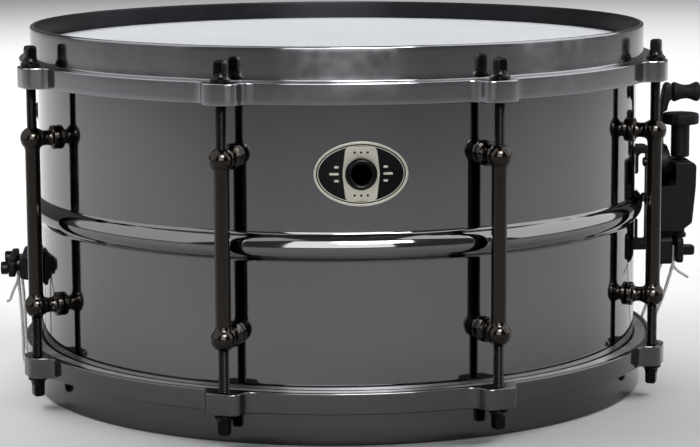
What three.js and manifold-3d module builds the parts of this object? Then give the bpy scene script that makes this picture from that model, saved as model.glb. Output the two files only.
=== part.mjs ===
// A 13 x 7 inch metal snare drum: beaded shell, eight tube lugs, two die-cast hoops, two heads,
// a throw-off strainer at +X, a butt plate at -X and the snare wires under the lower head.
// Millimetres, +Z up, drum axis on Z, badge facing -Y. Heights inside the file are measured from
// the shell's middle, and the outer group moves them so that Z = 0 is the batter head's surface.
import * as THREE from "three";
import { mergeVertices } from "three/addons/utils/BufferGeometryUtils.js";
import Module from "manifold-3d";

const wasm = await Module();
wasm.setup();

// ---- driving dimensions ----
const GAP = 0.3; // between pieces that touch
const RING_SIDES = 40; // sides of every large ring, so that their flats line up

const SHELL_RADIUS = 164.5;
const SHELL_WALL = 1.5;
const SHELL_HALF = 88.9; // half of the 7 inch depth
const EDGE_RADIUS = 2.9; // outer radius of the rolled bearing edge
const EDGE_FLANGE = 4.2; // length of the flange that follows the rolled edge
const BEAD_HALF = 6.65;
const BEAD_RISE = 4.2;

const FILM = 0.25;
const FILM_GAP = 0.25;
const SKIRT_END = 75; // height where the head's collar ends
const HEAD_TOP = SHELL_HALF + FILM_GAP + FILM;

const RIM_INNER = 165.6;
const RIM_OUTER = 168;
const RIM_TOP = 99.1;
const LEDGE = 82; // shoulder between the rim and the band
const BAND_LOW = 71;
const BAND_OUTER = 174.2;
const BAND_WALL = 2.6;
const SHOULDER = 2.1;
const EAR_RADIUS = 184; // flat outer face of an ear
const EAR_HALF = 8.2;
const GATE_HALF = 35; // half width of a snare gate

const LUGS = 8;
const LUG_RADIUS = 178.1; // drum axis to rod axis
const BALL_HEIGHT = 44.45;
const BALL_RADIUS = 6.25;
const TUBE_RADIUS = 3.9;
const TUBE_BORE = 3.2;
const POST_WAIST = 3.9;
const POST_FOOT = 6.3;

const ROD_RADIUS = 2.75;
const ROD_END = 30.5;
const ROD_HOLE = 3.4;
const COLLAR_RADIUS = 5.2;
const COLLAR = 2.2;
const KEY_SQUARE = 5.8; // drum-key head, across its flats
const KEY_HEAD = 8.6;

const MOUNT_HOLE = 2.5; // for the screws that hold the strainer and the butt plate
const MOUNT_SCREW = 1.9;
const BRACKET_SCREWS = [19, -19.5]; // heights
const BUTT_SCREWS = [-9, 9]; // distances to the side
const BUTT_SCREW_HEIGHT = -34;

const BADGE_HEIGHT = 36.6; // vent and badge centre above the middle
const BADGE_WIDE = 46.6;
const BADGE_TALL = 32;
const BADGE_PLATE = 0.8;
const VENT_HOLE = 5.9;
const WALL_CUT = [155, 175]; // span along X of a hole's tool through the shell's wall

const CORD_RADIUS = 0.95;
const CORD_SPREAD = 13.5; // each run of a cord lies this far to the side of the X axis
const CORD_SIDES = 8;
const CLAMP_SCREW_HEIGHT = -32.7;
const NIP = 2 * CORD_RADIUS + 2 * GAP;

// ---- materials ----
function finish(color, roughness, metalness) {
  return new THREE.MeshStandardMaterial({ color, roughness, metalness });
}
const NICKEL = finish(0x55575b, 0.12, 1.0);
const NICKEL_LIGHT = finish(0x6e6f74, 0.22, 1.0);
const LUG_BLACK = finish(0x1c1815, 0.18, 0.9);
const SATIN_BLACK = finish(0x1c1e22, 0.45, 0.2);
const ROD_BLACK = finish(0x17171a, 0.35, 0.8);
const FILM_WHITE = finish(0xd6dde0, 0.55, 0.0);
const FILM_CLEAR = finish(0xc9cdd0, 0.3, 0.0);
const ALUMINIUM = finish(0x9a9da0, 0.4, 1.0);
const STEEL = finish(0xb9bcbf, 0.3, 1.0);
const CORD_WHITE = finish(0xe9e9e6, 0.7, 0.0);
const BADGE_CREAM = finish(0xf0ebc8, 0.3, 0.0);
const RUBBER = finish(0x161719, 0.6, 0.0);

// ---- helpers ----
function toSolid(geometry) {
  const plain = geometry.clone();
  plain.deleteAttribute("normal");
  plain.deleteAttribute("uv");
  const merged = mergeVertices(plain, 1e-3);
  const vertProperties = merged.attributes.position.array;
  const triVerts = new Uint32Array(merged.index.array);
  return new wasm.Manifold(new wasm.Mesh({ numProp: 3, vertProperties, triVerts }));
}

function toGeometry(solid) {
  const mesh = solid.getMesh();
  const positions = new Float32Array(mesh.numVert * 3);
  for (let i = 0; i < mesh.numVert; i++) {
    positions.set(mesh.vertProperties.subarray(i * mesh.numProp, i * mesh.numProp + 3), i * 3);
  }
  const geometry = new THREE.BufferGeometry();
  geometry.setAttribute("position", new THREE.BufferAttribute(positions, 3));
  geometry.setIndex(new THREE.BufferAttribute(mesh.triVerts, 1));
  return geometry;
}

function join(first, ...others) {
  return toGeometry(others.reduce((sum, g) => sum.add(toSolid(g)), toSolid(first)));
}

function cut(first, ...tools) {
  return toGeometry(tools.reduce((rest, g) => rest.subtract(toSolid(g)), toSolid(first)));
}

function common(a, b) {
  return toGeometry(toSolid(a).intersect(toSolid(b)));
}

// Points on a circular arc in the radius-height plane; angles in degrees.
function arc(r, z, radius, from, to, steps) {
  const points = [];
  for (let i = 0; i <= steps; i++) {
    const a = THREE.MathUtils.degToRad(from + ((to - from) * i) / steps);
    points.push([r + radius * Math.cos(a), z + radius * Math.sin(a)]);
  }
  return points;
}

// A profile of [radius, height] points turned round Z; the first point is at -Y.
function turned(points, sides = RING_SIDES, closed = true) {
  const loop = closed ? [...points, points[0]] : points;
  const profile = loop.map(([r, z]) => new THREE.Vector2(r, z));
  return new THREE.LatheGeometry(profile, sides).rotateX(Math.PI / 2);
}

// A profile of [radius, distance] points turned round the X axis.
function turnedX(points, sides, closed = true) {
  return turned(points, sides, closed).rotateY(Math.PI / 2);
}

function outline(points) {
  return new THREE.Shape(points.map(([x, y]) => new THREE.Vector2(x, y)));
}

// An outline in plan, raised from one height to another.
function prism(points, low, high) {
  const options = { depth: high - low, bevelEnabled: false };
  return new THREE.ExtrudeGeometry(outline(points), options).translate(0, 0, low);
}

// An outline in the X-Z plane, extended to both sides of Y = 0.
function sidePlate(points, half) {
  const options = { depth: 2 * half, bevelEnabled: false };
  const plate = new THREE.ExtrudeGeometry(outline(points), options);
  return plate.rotateX(Math.PI / 2).translate(0, half, 0);
}

function block(x0, x1, y0, y1, z0, z1) {
  const box = new THREE.BoxGeometry(x1 - x0, y1 - y0, z1 - z0);
  return box.translate((x0 + x1) / 2, (y0 + y1) / 2, (z0 + z1) / 2);
}

function roundBar(radius, low, high, sides) {
  const bar = new THREE.CylinderGeometry(radius, radius, high - low, sides);
  return bar.rotateX(Math.PI / 2).translate(0, 0, (low + high) / 2);
}

function barX(radius, x0, x1, sides) {
  const bar = new THREE.CylinderGeometry(radius, radius, x1 - x0, sides);
  return bar.rotateZ(Math.PI / 2).translate((x0 + x1) / 2, 0, 0);
}

// The same profile on the other side of the shell's middle.
function flipped(profile) {
  return profile.map(([r, z]) => [r, -z]).reverse();
}

// Turns a piece made at +X to an azimuth counted from -Y towards +X.
function toAzimuth(geometry, degrees) {
  return geometry.rotateZ(THREE.MathUtils.degToRad(degrees - 90));
}

const drum = new THREE.Group();
drum.position.z = -HEAD_TOP;

function place(name, geometry, material, turn = 0) {
  const mesh = new THREE.Mesh(geometry, material);
  mesh.name = name;
  mesh.rotation.z = turn;
  drum.add(mesh);
  return mesh;
}

const lugAzimuths = Array.from({ length: LUGS }, (_, i) => 22.5 + (360 / LUGS) * i);

// ---- shell, vent and badge ----
// Upper bearing edge: rolled inwards over the top, then a flange that slopes down and in.
function rolledEdge() {
  const centreR = SHELL_RADIUS - EDGE_RADIUS;
  const centreZ = SHELL_HALF - EDGE_RADIUS;
  const slope = EDGE_FLANGE * Math.SQRT1_2;
  const outside = arc(centreR, centreZ, EDGE_RADIUS, 0, 135, 3);
  const inside = arc(centreR, centreZ, EDGE_RADIUS - SHELL_WALL, 135, 0, 1);
  const lip = [outside.at(-1), inside[0]];
  const flange = lip.map(([r, z]) => [r - slope, z - slope]);
  return [...outside, ...flange, ...inside];
}

function ventTool() {
  return toAzimuth(barX(VENT_HOLE, ...WALL_CUT, 12).translate(0, 0, BADGE_HEIGHT), 0);
}

function shellBody() {
  const bend = (BEAD_HALF ** 2 + BEAD_RISE ** 2) / (2 * BEAD_RISE);
  const centre = SHELL_RADIUS + BEAD_RISE - bend;
  const inner = bend - SHELL_WALL;
  const innerWall = SHELL_RADIUS - SHELL_WALL;
  const outerAngle = THREE.MathUtils.radToDeg(Math.asin(BEAD_HALF / bend));
  const innerAngle = THREE.MathUtils.radToDeg(Math.acos((innerWall - centre) / inner));
  const beadOut = arc(centre, 0, bend, -outerAngle, outerAngle, 4);
  const beadIn = arc(centre, 0, inner, innerAngle, -innerAngle, 2);
  const edge = rolledEdge();
  const ring = turned([...beadOut, ...edge, ...beadIn, ...flipped(edge)]);
  const screwHole = (y, z) => barX(MOUNT_HOLE, ...WALL_CUT, 6).translate(0, y, z);
  const strainerHoles = BRACKET_SCREWS.map((z) => toAzimuth(screwHole(0, z), 90));
  const buttHoles = BUTT_SCREWS.map((y) => toAzimuth(screwHole(y, BUTT_SCREW_HEIGHT), -90));
  return cut(ring, ventTool(), ...strainerHoles, ...buttHoles);
}

function badgePlate() {
  const inner = SHELL_RADIUS + GAP;
  const outer = inner + BADGE_PLATE;
  const low = BADGE_HEIGHT - BADGE_TALL;
  const high = BADGE_HEIGHT + BADGE_TALL;
  const section = [[outer, low], [outer, high], [inner, high], [inner, low]];
  const band = turned(section, 2 * RING_SIDES);
  const oval = new THREE.Shape();
  oval.absellipse(0, 0, BADGE_WIDE / 2, BADGE_TALL / 2, 0, 2 * Math.PI);
  const options = { depth: 40, bevelEnabled: false, curveSegments: 16 };
  const punch = new THREE.ExtrudeGeometry(oval, options).rotateX(Math.PI / 2);
  punch.translate(0, -150, BADGE_HEIGHT);
  return cut(common(band, punch), ventTool());
}

// Turned round the vent's own axis: outer flange, sleeve and the flange rolled over inside.
function ventGrommet() {
  const outside = SHELL_RADIUS + GAP + BADGE_PLATE + GAP;
  const inside = SHELL_RADIUS - SHELL_WALL - 0.9;
  const profile = [
    [5, inside - 1.4],
    [7.2, inside - 1.4],
    [7.2, inside],
    [5.5, inside],
    [5.5, outside],
    [7.9, outside],
    [7.9, outside + 0.9],
    [7, outside + 2.1],
    [5.9, outside + 2.3],
    [5, outside + 1.2],
  ];
  return toAzimuth(turnedX(profile, 14).translate(0, 0, BADGE_HEIGHT), 0);
}

// ---- heads ----
function headFilm(sign) {
  const centreR = SHELL_RADIUS - EDGE_RADIUS;
  const centreZ = SHELL_HALF - EDGE_RADIUS;
  const under = EDGE_RADIUS + FILM_GAP;
  const over = under + FILM;
  const profile = [
    [0, centreZ + under],
    ...arc(centreR, centreZ, under, 90, 0, 2),
    [centreR + under, SKIRT_END],
    [centreR + over, SKIRT_END],
    ...arc(centreR, centreZ, over, 0, 90, 2),
    [0, centreZ + over],
  ];
  return turned(sign > 0 ? profile : flipped(profile), RING_SIDES, false);
}

function counterHoop(sign) {
  const inner = SHELL_RADIUS + FILM_GAP + FILM + GAP;
  const outer = BAND_OUTER - BAND_WALL - GAP;
  const high = LEDGE - SHOULDER - GAP;
  const low = BAND_LOW + 0.6;
  const profile = [[inner, low], [outer, low], [outer, high], [inner, high]];
  return turned(sign > 0 ? profile : flipped(profile));
}

// ---- hoops ----
function hoopRing() {
  return turned([
    [BAND_OUTER, BAND_LOW + 0.8],
    [BAND_OUTER, LEDGE - 0.6],
    [BAND_OUTER - 0.6, LEDGE],
    [RIM_OUTER, LEDGE],
    [RIM_OUTER, RIM_TOP - 0.8],
    [RIM_OUTER - 0.6, RIM_TOP],
    [RIM_INNER + 0.4, RIM_TOP],
    [RIM_INNER, RIM_TOP - 0.6],
    [RIM_INNER, LEDGE - SHOULDER],
    [BAND_OUTER - BAND_WALL, LEDGE - SHOULDER],
    [BAND_OUTER - BAND_WALL, BAND_LOW],
    [BAND_OUTER - 0.8, BAND_LOW],
  ]);
}

// Plan of one ear at +X, from inside the band's wall out to its flat face.
function ear() {
  const root = BAND_OUTER - 1.6;
  const half = [
    [root, 13.2],
    [BAND_OUTER + 0.9, 10.6],
    [BAND_OUTER + 3.2, 9.2],
    [EAR_RADIUS - 2, EAR_HALF],
    [EAR_RADIUS - 0.6, EAR_HALF - 2],
    [EAR_RADIUS, EAR_HALF - 4.4],
  ];
  const other = half.map(([x, y]) => [x, -y]).reverse();
  return prism([...half, ...other], BAND_LOW, LEDGE);
}

function hoop(sign) {
  const ears = lugAzimuths.map((azimuth) => toAzimuth(ear(), azimuth));
  const holes = lugAzimuths.map((azimuth) => {
    const hole = roundBar(ROD_HOLE, BAND_LOW - 2, LEDGE + 2, 8).translate(LUG_RADIUS, 0, 0);
    return toAzimuth(hole, azimuth);
  });
  const upper = cut(join(hoopRing(), ...ears), ...holes);
  if (sign > 0) {
    return upper;
  }
  const lower = upper.rotateX(Math.PI);
  return cut(lower, gateCutter(1), gateCutter(-1));
}

// A snare gate is a notch with rounded corners through the rim, open at the rim's edge.
function gateCutter(side) {
  const top = -LEDGE - 0.6;
  const corner = 5;
  const profile = [
    [-GATE_HALF, -RIM_TOP - 5],
    [GATE_HALF, -RIM_TOP - 5],
    ...arc(GATE_HALF - corner, top - corner, corner, 0, 90, 4),
    ...arc(corner - GATE_HALF, top - corner, corner, 90, 180, 4),
  ];
  const options = { depth: 30, bevelEnabled: false };
  const cutter = new THREE.ExtrudeGeometry(outline(profile), options).rotateX(Math.PI / 2);
  cutter.rotateZ((side * Math.PI) / 2);
  return cutter.translate(side * 150, 0, 0);
}

// ---- lugs and tension rods ----
// Two balls joined by a tube, each on its own post. Angles are measured from the tube's axis.
function lug() {
  const neck = THREE.MathUtils.radToDeg(Math.asin(TUBE_RADIUS / BALL_RADIUS));
  const mouth = 25; // where the ball ends in a flat round the bore
  const upper = [
    ...arc(0, BALL_HEIGHT, BALL_RADIUS, neck - 90, 90 - mouth, 3),
    [TUBE_BORE, BALL_HEIGHT + BALL_RADIUS * Math.cos(THREE.MathUtils.degToRad(mouth))],
  ];
  const column = turned([...flipped(upper), ...upper], 10);
  const posts = [-BALL_HEIGHT, BALL_HEIGHT].map((height) => post().translate(0, 0, height));
  const whole = join(column.translate(LUG_RADIUS, 0, 0), ...posts);
  const bore = roundBar(TUBE_BORE, -60, 60, 10).translate(LUG_RADIUS, 0, 0);
  return cut(whole, bore);
}

// The post that carries a ball: a flanged foot on the shell, a waist and a flare to the ball.
function post() {
  const foot = SHELL_RADIUS + GAP;
  const profile = [
    [0, foot],
    [POST_FOOT, foot],
    [POST_FOOT, foot + 1.6],
    [POST_WAIST + 0.7, foot + 2.6],
    [POST_WAIST, foot + 5],
    [POST_WAIST + 0.9, LUG_RADIUS - 3.5],
    [0, LUG_RADIUS - 3.3],
  ];
  return turnedX(profile, 8, false);
}

function tensionRod(sign) {
  const seat = LEDGE + GAP;
  const profile = [
    [0, ROD_END],
    [ROD_RADIUS, ROD_END],
    [ROD_RADIUS, seat],
    [COLLAR_RADIUS, seat],
    [COLLAR_RADIUS, seat + COLLAR - 0.7],
    [KEY_SQUARE * 0.62, seat + COLLAR + 0.4],
    [0, seat + COLLAR + 0.4],
  ];
  const shank = turned(profile, 8, false);
  const whole = join(shank, keyHead().translate(0, 0, seat + COLLAR));
  return (sign > 0 ? whole : whole.rotateX(Math.PI)).translate(LUG_RADIUS, 0, 0);
}

// A square drum-key head standing on Z = 0, its corners chamfered at the top.
function keyHead() {
  const side = KEY_SQUARE / Math.SQRT2;
  const chamfer = 0.9;
  const profile = [
    [0, 0],
    [side, 0],
    [side, KEY_HEAD - chamfer],
    [side - chamfer, KEY_HEAD],
    [0, KEY_HEAD],
  ];
  return turned(profile, 4, false).rotateZ(Math.PI / 4);
}

// ---- strainer, at +X ----
const PLATE_IN = 174.4; // bracket's back plate
const PLATE_OUT = 176;
const FOOT = SHELL_RADIUS + GAP;
const FOOT_OUT = 168;
const BRACKET_HALF = 8;
const BRACKET_TOP = 28;
const BRACKET_LOW = -30.3;
const PIVOT_HEIGHT = 18.5;
const PIVOT_RADIUS = 2;
const HUB_RADIUS = 10;
const HUB_IN = 179.9;
const HUB_OUT = 186.4;
const ARM_HALF = 4.2;
const ARM_OUT = 182.4;
const GRIP_HEIGHT = 57.8;
const GRIP_IN = 187.8;
const HOUSING_TOP = 19.7;
const HOUSING_LOW = -19.4;
const HOUSING_HALF = 15;
const HOUSING_SCREW_HEIGHT = -2.3;
const HOUSING_SCREWS = [-4.8, 4.8];
const HEAD_IN = PLATE_IN - GAP - 2.3; // screw heads behind the back plate
const KNOB_X = 192.9;
const CARRIAGE_OUT = 196.2; // face of the carriage towards the housing's front wall
const CAP_RADIUS = 10.2;
const CAP_LOW = 39.8;
const CAP_TOP = 46.1;
const SLEEVE_RADIUS = 5.2;
const STEM_RADIUS = 2;
const CLAMP_SCREW = 1.9;
const JAW_FACE = 185.65; // cord side of the strainer's fixed jaw
const JAW_HALF = 19;
const JAW_TOP = -21.7;
const JAW_LOW = -37;
const SHELF_LOW = JAW_TOP - 2.4;
const SHELF_HALF = 6;
const JAW_SCREW_HEIGHT = -31.9;
const PLATE_THICK = 3.8; // of both clamp plates

// A bar that drills a running hole for a pin or stem of that radius, along X.
function boreX(radius, x0, x1, y, z, sides = 10) {
  return barX(radius + GAP, x0, x1, sides).translate(0, y, z);
}

function strainerBracket() {
  const side = [
    [FOOT, BRACKET_LOW],
    [PLATE_OUT, BRACKET_LOW],
    [PLATE_OUT, BRACKET_TOP - 1.5],
    [PLATE_OUT - 1.5, BRACKET_TOP],
    [FOOT, BRACKET_TOP],
    [FOOT, 12.7],
    [FOOT_OUT - 1, 12.7],
    [FOOT_OUT, 14.5],
    [FOOT_OUT, 24.2],
    [PLATE_IN, 24.2],
    [PLATE_IN, -25.8],
    [FOOT_OUT, -25.8],
    [FOOT_OUT, -14],
    [FOOT_OUT - 1, -12.2],
    [FOOT, -12.2],
  ];
  const pivotHole = boreX(PIVOT_RADIUS, 170, 180, 0, PIVOT_HEIGHT);
  const housingHoles = HOUSING_SCREWS.map((y) => {
    return boreX(PIVOT_RADIUS, 170, 180, y, HOUSING_SCREW_HEIGHT);
  });
  const mountHoles = BRACKET_SCREWS.map((z) => barX(MOUNT_HOLE, 160, 170, 6).translate(0, 0, z));
  return cut(sidePlate(side, BRACKET_HALF), pivotHole, ...housingHoles, ...mountHoles);
}

function strainerHousing() {
  const side = [
    [PLATE_OUT + GAP, HOUSING_LOW],
    [190.6, HOUSING_LOW],
    [197.4, HOUSING_LOW + 5],
    [199.2, 6],
    [199.4, HOUSING_TOP - 2],
    [198.2, HOUSING_TOP],
    [187, HOUSING_TOP],
    [187, 7.6],
    [PLATE_OUT + GAP, 7.6],
  ];
  const cavity = block(186.9, CARRIAGE_OUT + 0.4, -9, 9, -40, 10);
  const sleeveBore = roundBar(SLEEVE_RADIUS + GAP, 9, 30, 16).translate(KNOB_X, 0, 0);
  const holes = HOUSING_SCREWS.map((y) => {
    return boreX(PIVOT_RADIUS, 170, 183, y, HOUSING_SCREW_HEIGHT);
  });
  return cut(sidePlate(side, HOUSING_HALF), cavity, sleeveBore, ...holes);
}

// Hub on the pivot, an arm that runs thin beside the knob's cap and cranks outwards above it,
// and the spindle that carries the grip.
function throwLever() {
  const hubProfile = [
    [PIVOT_RADIUS + GAP, HUB_IN],
    [HUB_RADIUS, HUB_IN],
    [HUB_RADIUS, HUB_OUT - 3],
    [HUB_RADIUS - 1, HUB_OUT - 1],
    [HUB_RADIUS - 3.2, HUB_OUT],
    [PIVOT_RADIUS + GAP, HUB_OUT],
  ];
  const hub = turnedX(hubProfile, 20).translate(0, 0, PIVOT_HEIGHT);
  const arm = [
    [HUB_IN, PIVOT_HEIGHT + 5],
    [ARM_OUT, PIVOT_HEIGHT + 5],
    [ARM_OUT, 46.9],
    [184.9, 47.6],
    [185.2, 50.5],
    [186.2, 53],
    [GRIP_IN - GAP, 54.2],
    [GRIP_IN - GAP, 61],
    [184.4, 63.2],
    [183.2, 61.8],
    [182.4, 58.6],
    [181.5, 52],
    [180.8, 45],
    [180.3, 38],
  ];
  const spindle = turnedX([[0, 186], [2.4, 186], [2.4, 200], [0, 200]], 10, false);
  return join(hub, sidePlate(arm, ARM_HALF), spindle.translate(0, 0, GRIP_HEIGHT));
}

// Dog-bone sleeve on the lever's spindle.
function leverGrip() {
  const profile = [
    [2.7, GRIP_IN],
    [4.6, GRIP_IN],
    [5.5, 189],
    [5.3, 191],
    [4.1, 194],
    [3.7, 196],
    [4.2, 198.5],
    [5.4, 200.6],
    [5.3, 202.6],
    [4.3, 203.4],
    [0, 203.4],
    [0, 200.3],
    [2.7, 200.3],
  ];
  return turnedX(profile, 12).translate(0, 0, GRIP_HEIGHT);
}

// A round-headed screw or pin along X: the head begins at x0, the shank ends at x1.
function screwX(x0, head, x1, headRadius, radius, sides = 8) {
  const profile = [
    [0, x0],
    [headRadius, x0],
    [headRadius, x0 + head],
    [radius, x0 + head],
    [radius, x1],
    [0, x1],
  ];
  return turnedX(profile, sides, false);
}

function pivotPin() {
  return screwX(HEAD_IN, 2.3, 186, 2.6, PIVOT_RADIUS, 10).translate(0, 0, PIVOT_HEIGHT);
}

// Cap, sleeve and threaded stem of the fine-tension knob.
function tensionKnob() {
  const profile = [
    [0, -19],
    [STEM_RADIUS, -19],
    [STEM_RADIUS, 21.4],
    [SLEEVE_RADIUS, 21.4],
    [SLEEVE_RADIUS, CAP_LOW],
    [CAP_RADIUS - 0.9, CAP_LOW],
    [CAP_RADIUS, CAP_LOW + 1],
    [CAP_RADIUS, CAP_TOP - 1.3],
    [CAP_RADIUS - 0.9, CAP_TOP],
    [0, CAP_TOP],
  ];
  return turned(profile, 16, false).translate(KNOB_X, 0, 0);
}

function liftCarriage() {
  const body = block(187.4, CARRIAGE_OUT, -8.5, 8.5, -10.4, 3.4);
  return cut(body, roundBar(STEM_RADIUS + GAP, -20, 20, 10).translate(KNOB_X, 0, 0));
}

// The fixed jaw, with the shelf and neck that hang it on the knob's stem.
function wireJaw() {
  const jaw = block(178.4, JAW_FACE, -JAW_HALF, JAW_HALF, JAW_LOW, JAW_TOP);
  const shelf = block(182, 196.6, -SHELF_HALF, SHELF_HALF, SHELF_LOW, JAW_TOP);
  const neck = roundBar(CARRIAGE_OUT - KNOB_X, JAW_TOP - 1, -13.4, 12).translate(KNOB_X, 0, 0);
  const stemHole = roundBar(STEM_RADIUS + GAP, -30, 0, 10).translate(KNOB_X, 0, 0);
  const screwHole = boreX(STEM_RADIUS, 180, 190, 0, JAW_SCREW_HEIGHT, 8);
  return cut(join(jaw, shelf, neck), stemHole, screwHole);
}

// Pressure plate that holds a cord against a jaw; screws are [side, height] of its holes.
function pressurePlate(x0, half, low, high, screws) {
  const step = 1.6;
  const plate = block(x0, x0 + PLATE_THICK, -half, half, low, high - step);
  const crown = block(x0, x0 + PLATE_THICK - step, -half, half, (low + high) / 2, high);
  const holes = screws.map(([y, z]) => boreX(STEM_RADIUS, x0 - 5, x0 + 9, y, z, 8));
  return cut(join(plate, crown), ...holes);
}

// The strainer's clamp plate, with a relief at the top for the jaw's shelf.
function strainerClampPlate() {
  const x0 = JAW_FACE + NIP;
  const plate = pressurePlate(x0, JAW_HALF, -36.4, JAW_TOP - GAP, [[0, JAW_SCREW_HEIGHT]]);
  const half = SHELF_HALF + 0.5;
  return cut(plate, block(x0 - 5, x0 + 9, -half, half, SHELF_LOW - GAP, JAW_TOP + 5));
}

// The strainer's key-headed clamp screw along X, its collar resting at x0.
function keyScrew(x0, shank) {
  const collar = turned([[0, 0], [4, 0], [4, 1.3], [0, 1.3]], 12, false);
  const bar = roundBar(CLAMP_SCREW, -shank, 0.5, 8);
  const screw = join(collar, bar, keyHead().translate(0, 0, 1)).rotateY(Math.PI / 2);
  return screw.translate(x0, 0, JAW_SCREW_HEIGHT);
}

// A cap-headed clamp screw of the butt plate along X, its head resting at x0.
function capScrew(x0, shank) {
  const head = 3.5;
  const tall = 3.85;
  const socket = 1.5;
  const profile = [
    [0, x0 - shank],
    [CLAMP_SCREW, x0 - shank],
    [CLAMP_SCREW, x0],
    [head, x0],
    [head, x0 + tall - 0.5],
    [head - 0.5, x0 + tall],
    [socket, x0 + tall],
    [socket, x0 + tall - 2],
    [0, x0 + tall - 2],
  ];
  return turnedX(profile, 12, false).translate(0, 0, CLAMP_SCREW_HEIGHT);
}

// ---- butt plate, made at +X and turned to -X ----
const BUTT_FACE = 175.65; // cord side of the butt's fixed jaw
const BUTT_HALF = 21;
const BUTT_CLAMPS = [-17.6, 17.6]; // clamp screws, to the side

function buttBody() {
  const side = [
    [FOOT, -42.3],
    [FOOT_OUT + 0.5, -42.3],
    [FOOT_OUT + 2.4, -40.4],
    [BUTT_FACE, -38.6],
    [BUTT_FACE, -27],
    [FOOT_OUT + 2, -26.2],
    [FOOT_OUT - 0.4, -23.5],
    [FOOT, -23.5],
  ];
  const clampHoles = BUTT_CLAMPS.map((y) => boreX(STEM_RADIUS, 167, 180, y, CLAMP_SCREW_HEIGHT, 8));
  const mountHoles = BUTT_SCREWS.map((y) => {
    return barX(MOUNT_HOLE, 160, 172, 6).translate(0, y, BUTT_SCREW_HEIGHT);
  });
  return cut(sidePlate(side, BUTT_HALF), ...clampHoles, ...mountHoles);
}

// ---- snare wires and cords ----
const STRANDS = 20;
const STRAND_PITCH = 2.3;
const STRAND_RADIUS = 1.05;
const WIRE_HEIGHT = -HEAD_TOP - GAP - STRAND_RADIUS;
const STRAND_END = 131;
const WIRE_PLATE_END = 150;
const WIRE_PLATE_HALF = 25;

// End plate at +X with the rib under it that the cord is looped round.
function wirePlate() {
  const low = WIRE_HEIGHT - 0.75;
  const high = WIRE_HEIGHT + 0.45;
  const plate = block(STRAND_END, WIRE_PLATE_END, -WIRE_PLATE_HALF, WIRE_PLATE_HALF, low, high);
  const rib = [
    [145.3, -5.4],
    [146.8, -7.2],
    [149.4, -7.2],
    [149.4, 7.2],
    [146.8, 7.2],
    [145.3, 5.4],
  ];
  return join(plate, prism(rib, low - 2.1, low + 0.3));
}

function snareWires() {
  const strands = [];
  for (let i = 0; i < STRANDS; i++) {
    const strand = barX(STRAND_RADIUS, -STRAND_END - 3, STRAND_END + 3, 4);
    strands.push(strand.translate(0, (i - (STRANDS - 1) / 2) * STRAND_PITCH, WIRE_HEIGHT));
  }
  return join(...strands, wirePlate(), wirePlate().rotateZ(Math.PI));
}

// One cord, from its end in the nip down through the gate, across under the snare plate and back.
function cord(run) {
  const across = [
    [148.6, 0.985, -92.95],
    [144.6, 0.72, -93],
    [143.6, 0, -93],
  ];
  const half = [...run.map(([x, z]) => [x, 1, z]), ...across];
  const back = half.slice(0, -1).reverse().map(([x, y, z]) => [x, -y, z]);
  const points = [...half, ...back].map(([x, y, z]) => new THREE.Vector3(x, y * CORD_SPREAD, z));
  const section = new THREE.Shape();
  section.absarc(0, 0, CORD_RADIUS, 0, 2 * Math.PI);
  return new THREE.ExtrudeGeometry(section, {
    steps: 46,
    curveSegments: CORD_SIDES / 2,
    extrudePath: new THREE.CatmullRomCurve3(points, false, "centripetal"),
    bevelEnabled: false,
  });
}

// Below the clamps both cords take the same way round the lower hoop and into the gate.
const throughGate = [
  [175.3, -73],
  [175.2, -81],
  [174.6, -85.4],
  [171.5, -88.4],
  [165, -91],
  [156, -92.6],
];

// The upper end of a cord, held between a jaw's face and its clamp plate.
function inNip(face, heights) {
  return heights.map((z) => [face + NIP / 2, z]);
}

const strainerRun = [...inNip(JAW_FACE, [-27, -33, -38]), [182, -55], ...throughGate];
const buttRun = [...inNip(BUTT_FACE, [-30, -36, -40.5]), [175.8, -56], ...throughGate];

// ---- the assembly ----
place("shell", shellBody(), NICKEL);
place("badge", badgePlate(), BADGE_CREAM);
place("vent_grommet", ventGrommet(), ROD_BLACK);

place("batter_film", headFilm(1), FILM_WHITE);
place("batter_counter_hoop", counterHoop(1), ALUMINIUM);
place("batter_hoop", hoop(1), NICKEL_LIGHT);
place("snare_film", headFilm(-1), FILM_CLEAR);
place("snare_counter_hoop", counterHoop(-1), ALUMINIUM);
place("snare_hoop", hoop(-1), NICKEL_LIGHT);

lugAzimuths.forEach((azimuth, i) => {
  place("lug_" + (i + 1), toAzimuth(lug(), azimuth), LUG_BLACK);
  place("batter_rod_" + (i + 1), toAzimuth(tensionRod(1), azimuth), ROD_BLACK);
  place("snare_rod_" + (i + 1), toAzimuth(tensionRod(-1), azimuth), ROD_BLACK);
});

place("strainer_bracket", strainerBracket(), SATIN_BLACK);
place("strainer_housing", strainerHousing(), SATIN_BLACK);
place("throw_lever", throwLever(), SATIN_BLACK);
place("lever_grip", leverGrip(), RUBBER);
place("lever_pivot_pin", pivotPin(), ROD_BLACK);
place("tension_knob", tensionKnob(), SATIN_BLACK);
place("lift_carriage", liftCarriage(), STEEL);
place("wire_jaw", wireJaw(), SATIN_BLACK);
place("strainer_clamp_plate", strainerClampPlate(), SATIN_BLACK);
const strainerScrew = keyScrew(JAW_FACE + NIP + PLATE_THICK + GAP, 11);
place("strainer_clamp_screw", strainerScrew, ROD_BLACK);
HOUSING_SCREWS.forEach((y, i) => {
  const screw = screwX(HEAD_IN, 2.3, 182.5, 2.6, PIVOT_RADIUS);
  place("housing_screw_" + (i + 1), screw.translate(0, y, HOUSING_SCREW_HEIGHT), ROD_BLACK);
});
BRACKET_SCREWS.forEach((z, i) => {
  const screw = screwX(159.8, 2.4, 167.2, 3.8, MOUNT_SCREW);
  place("bracket_screw_" + (i + 1), screw.translate(0, 0, z), STEEL);
});

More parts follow.
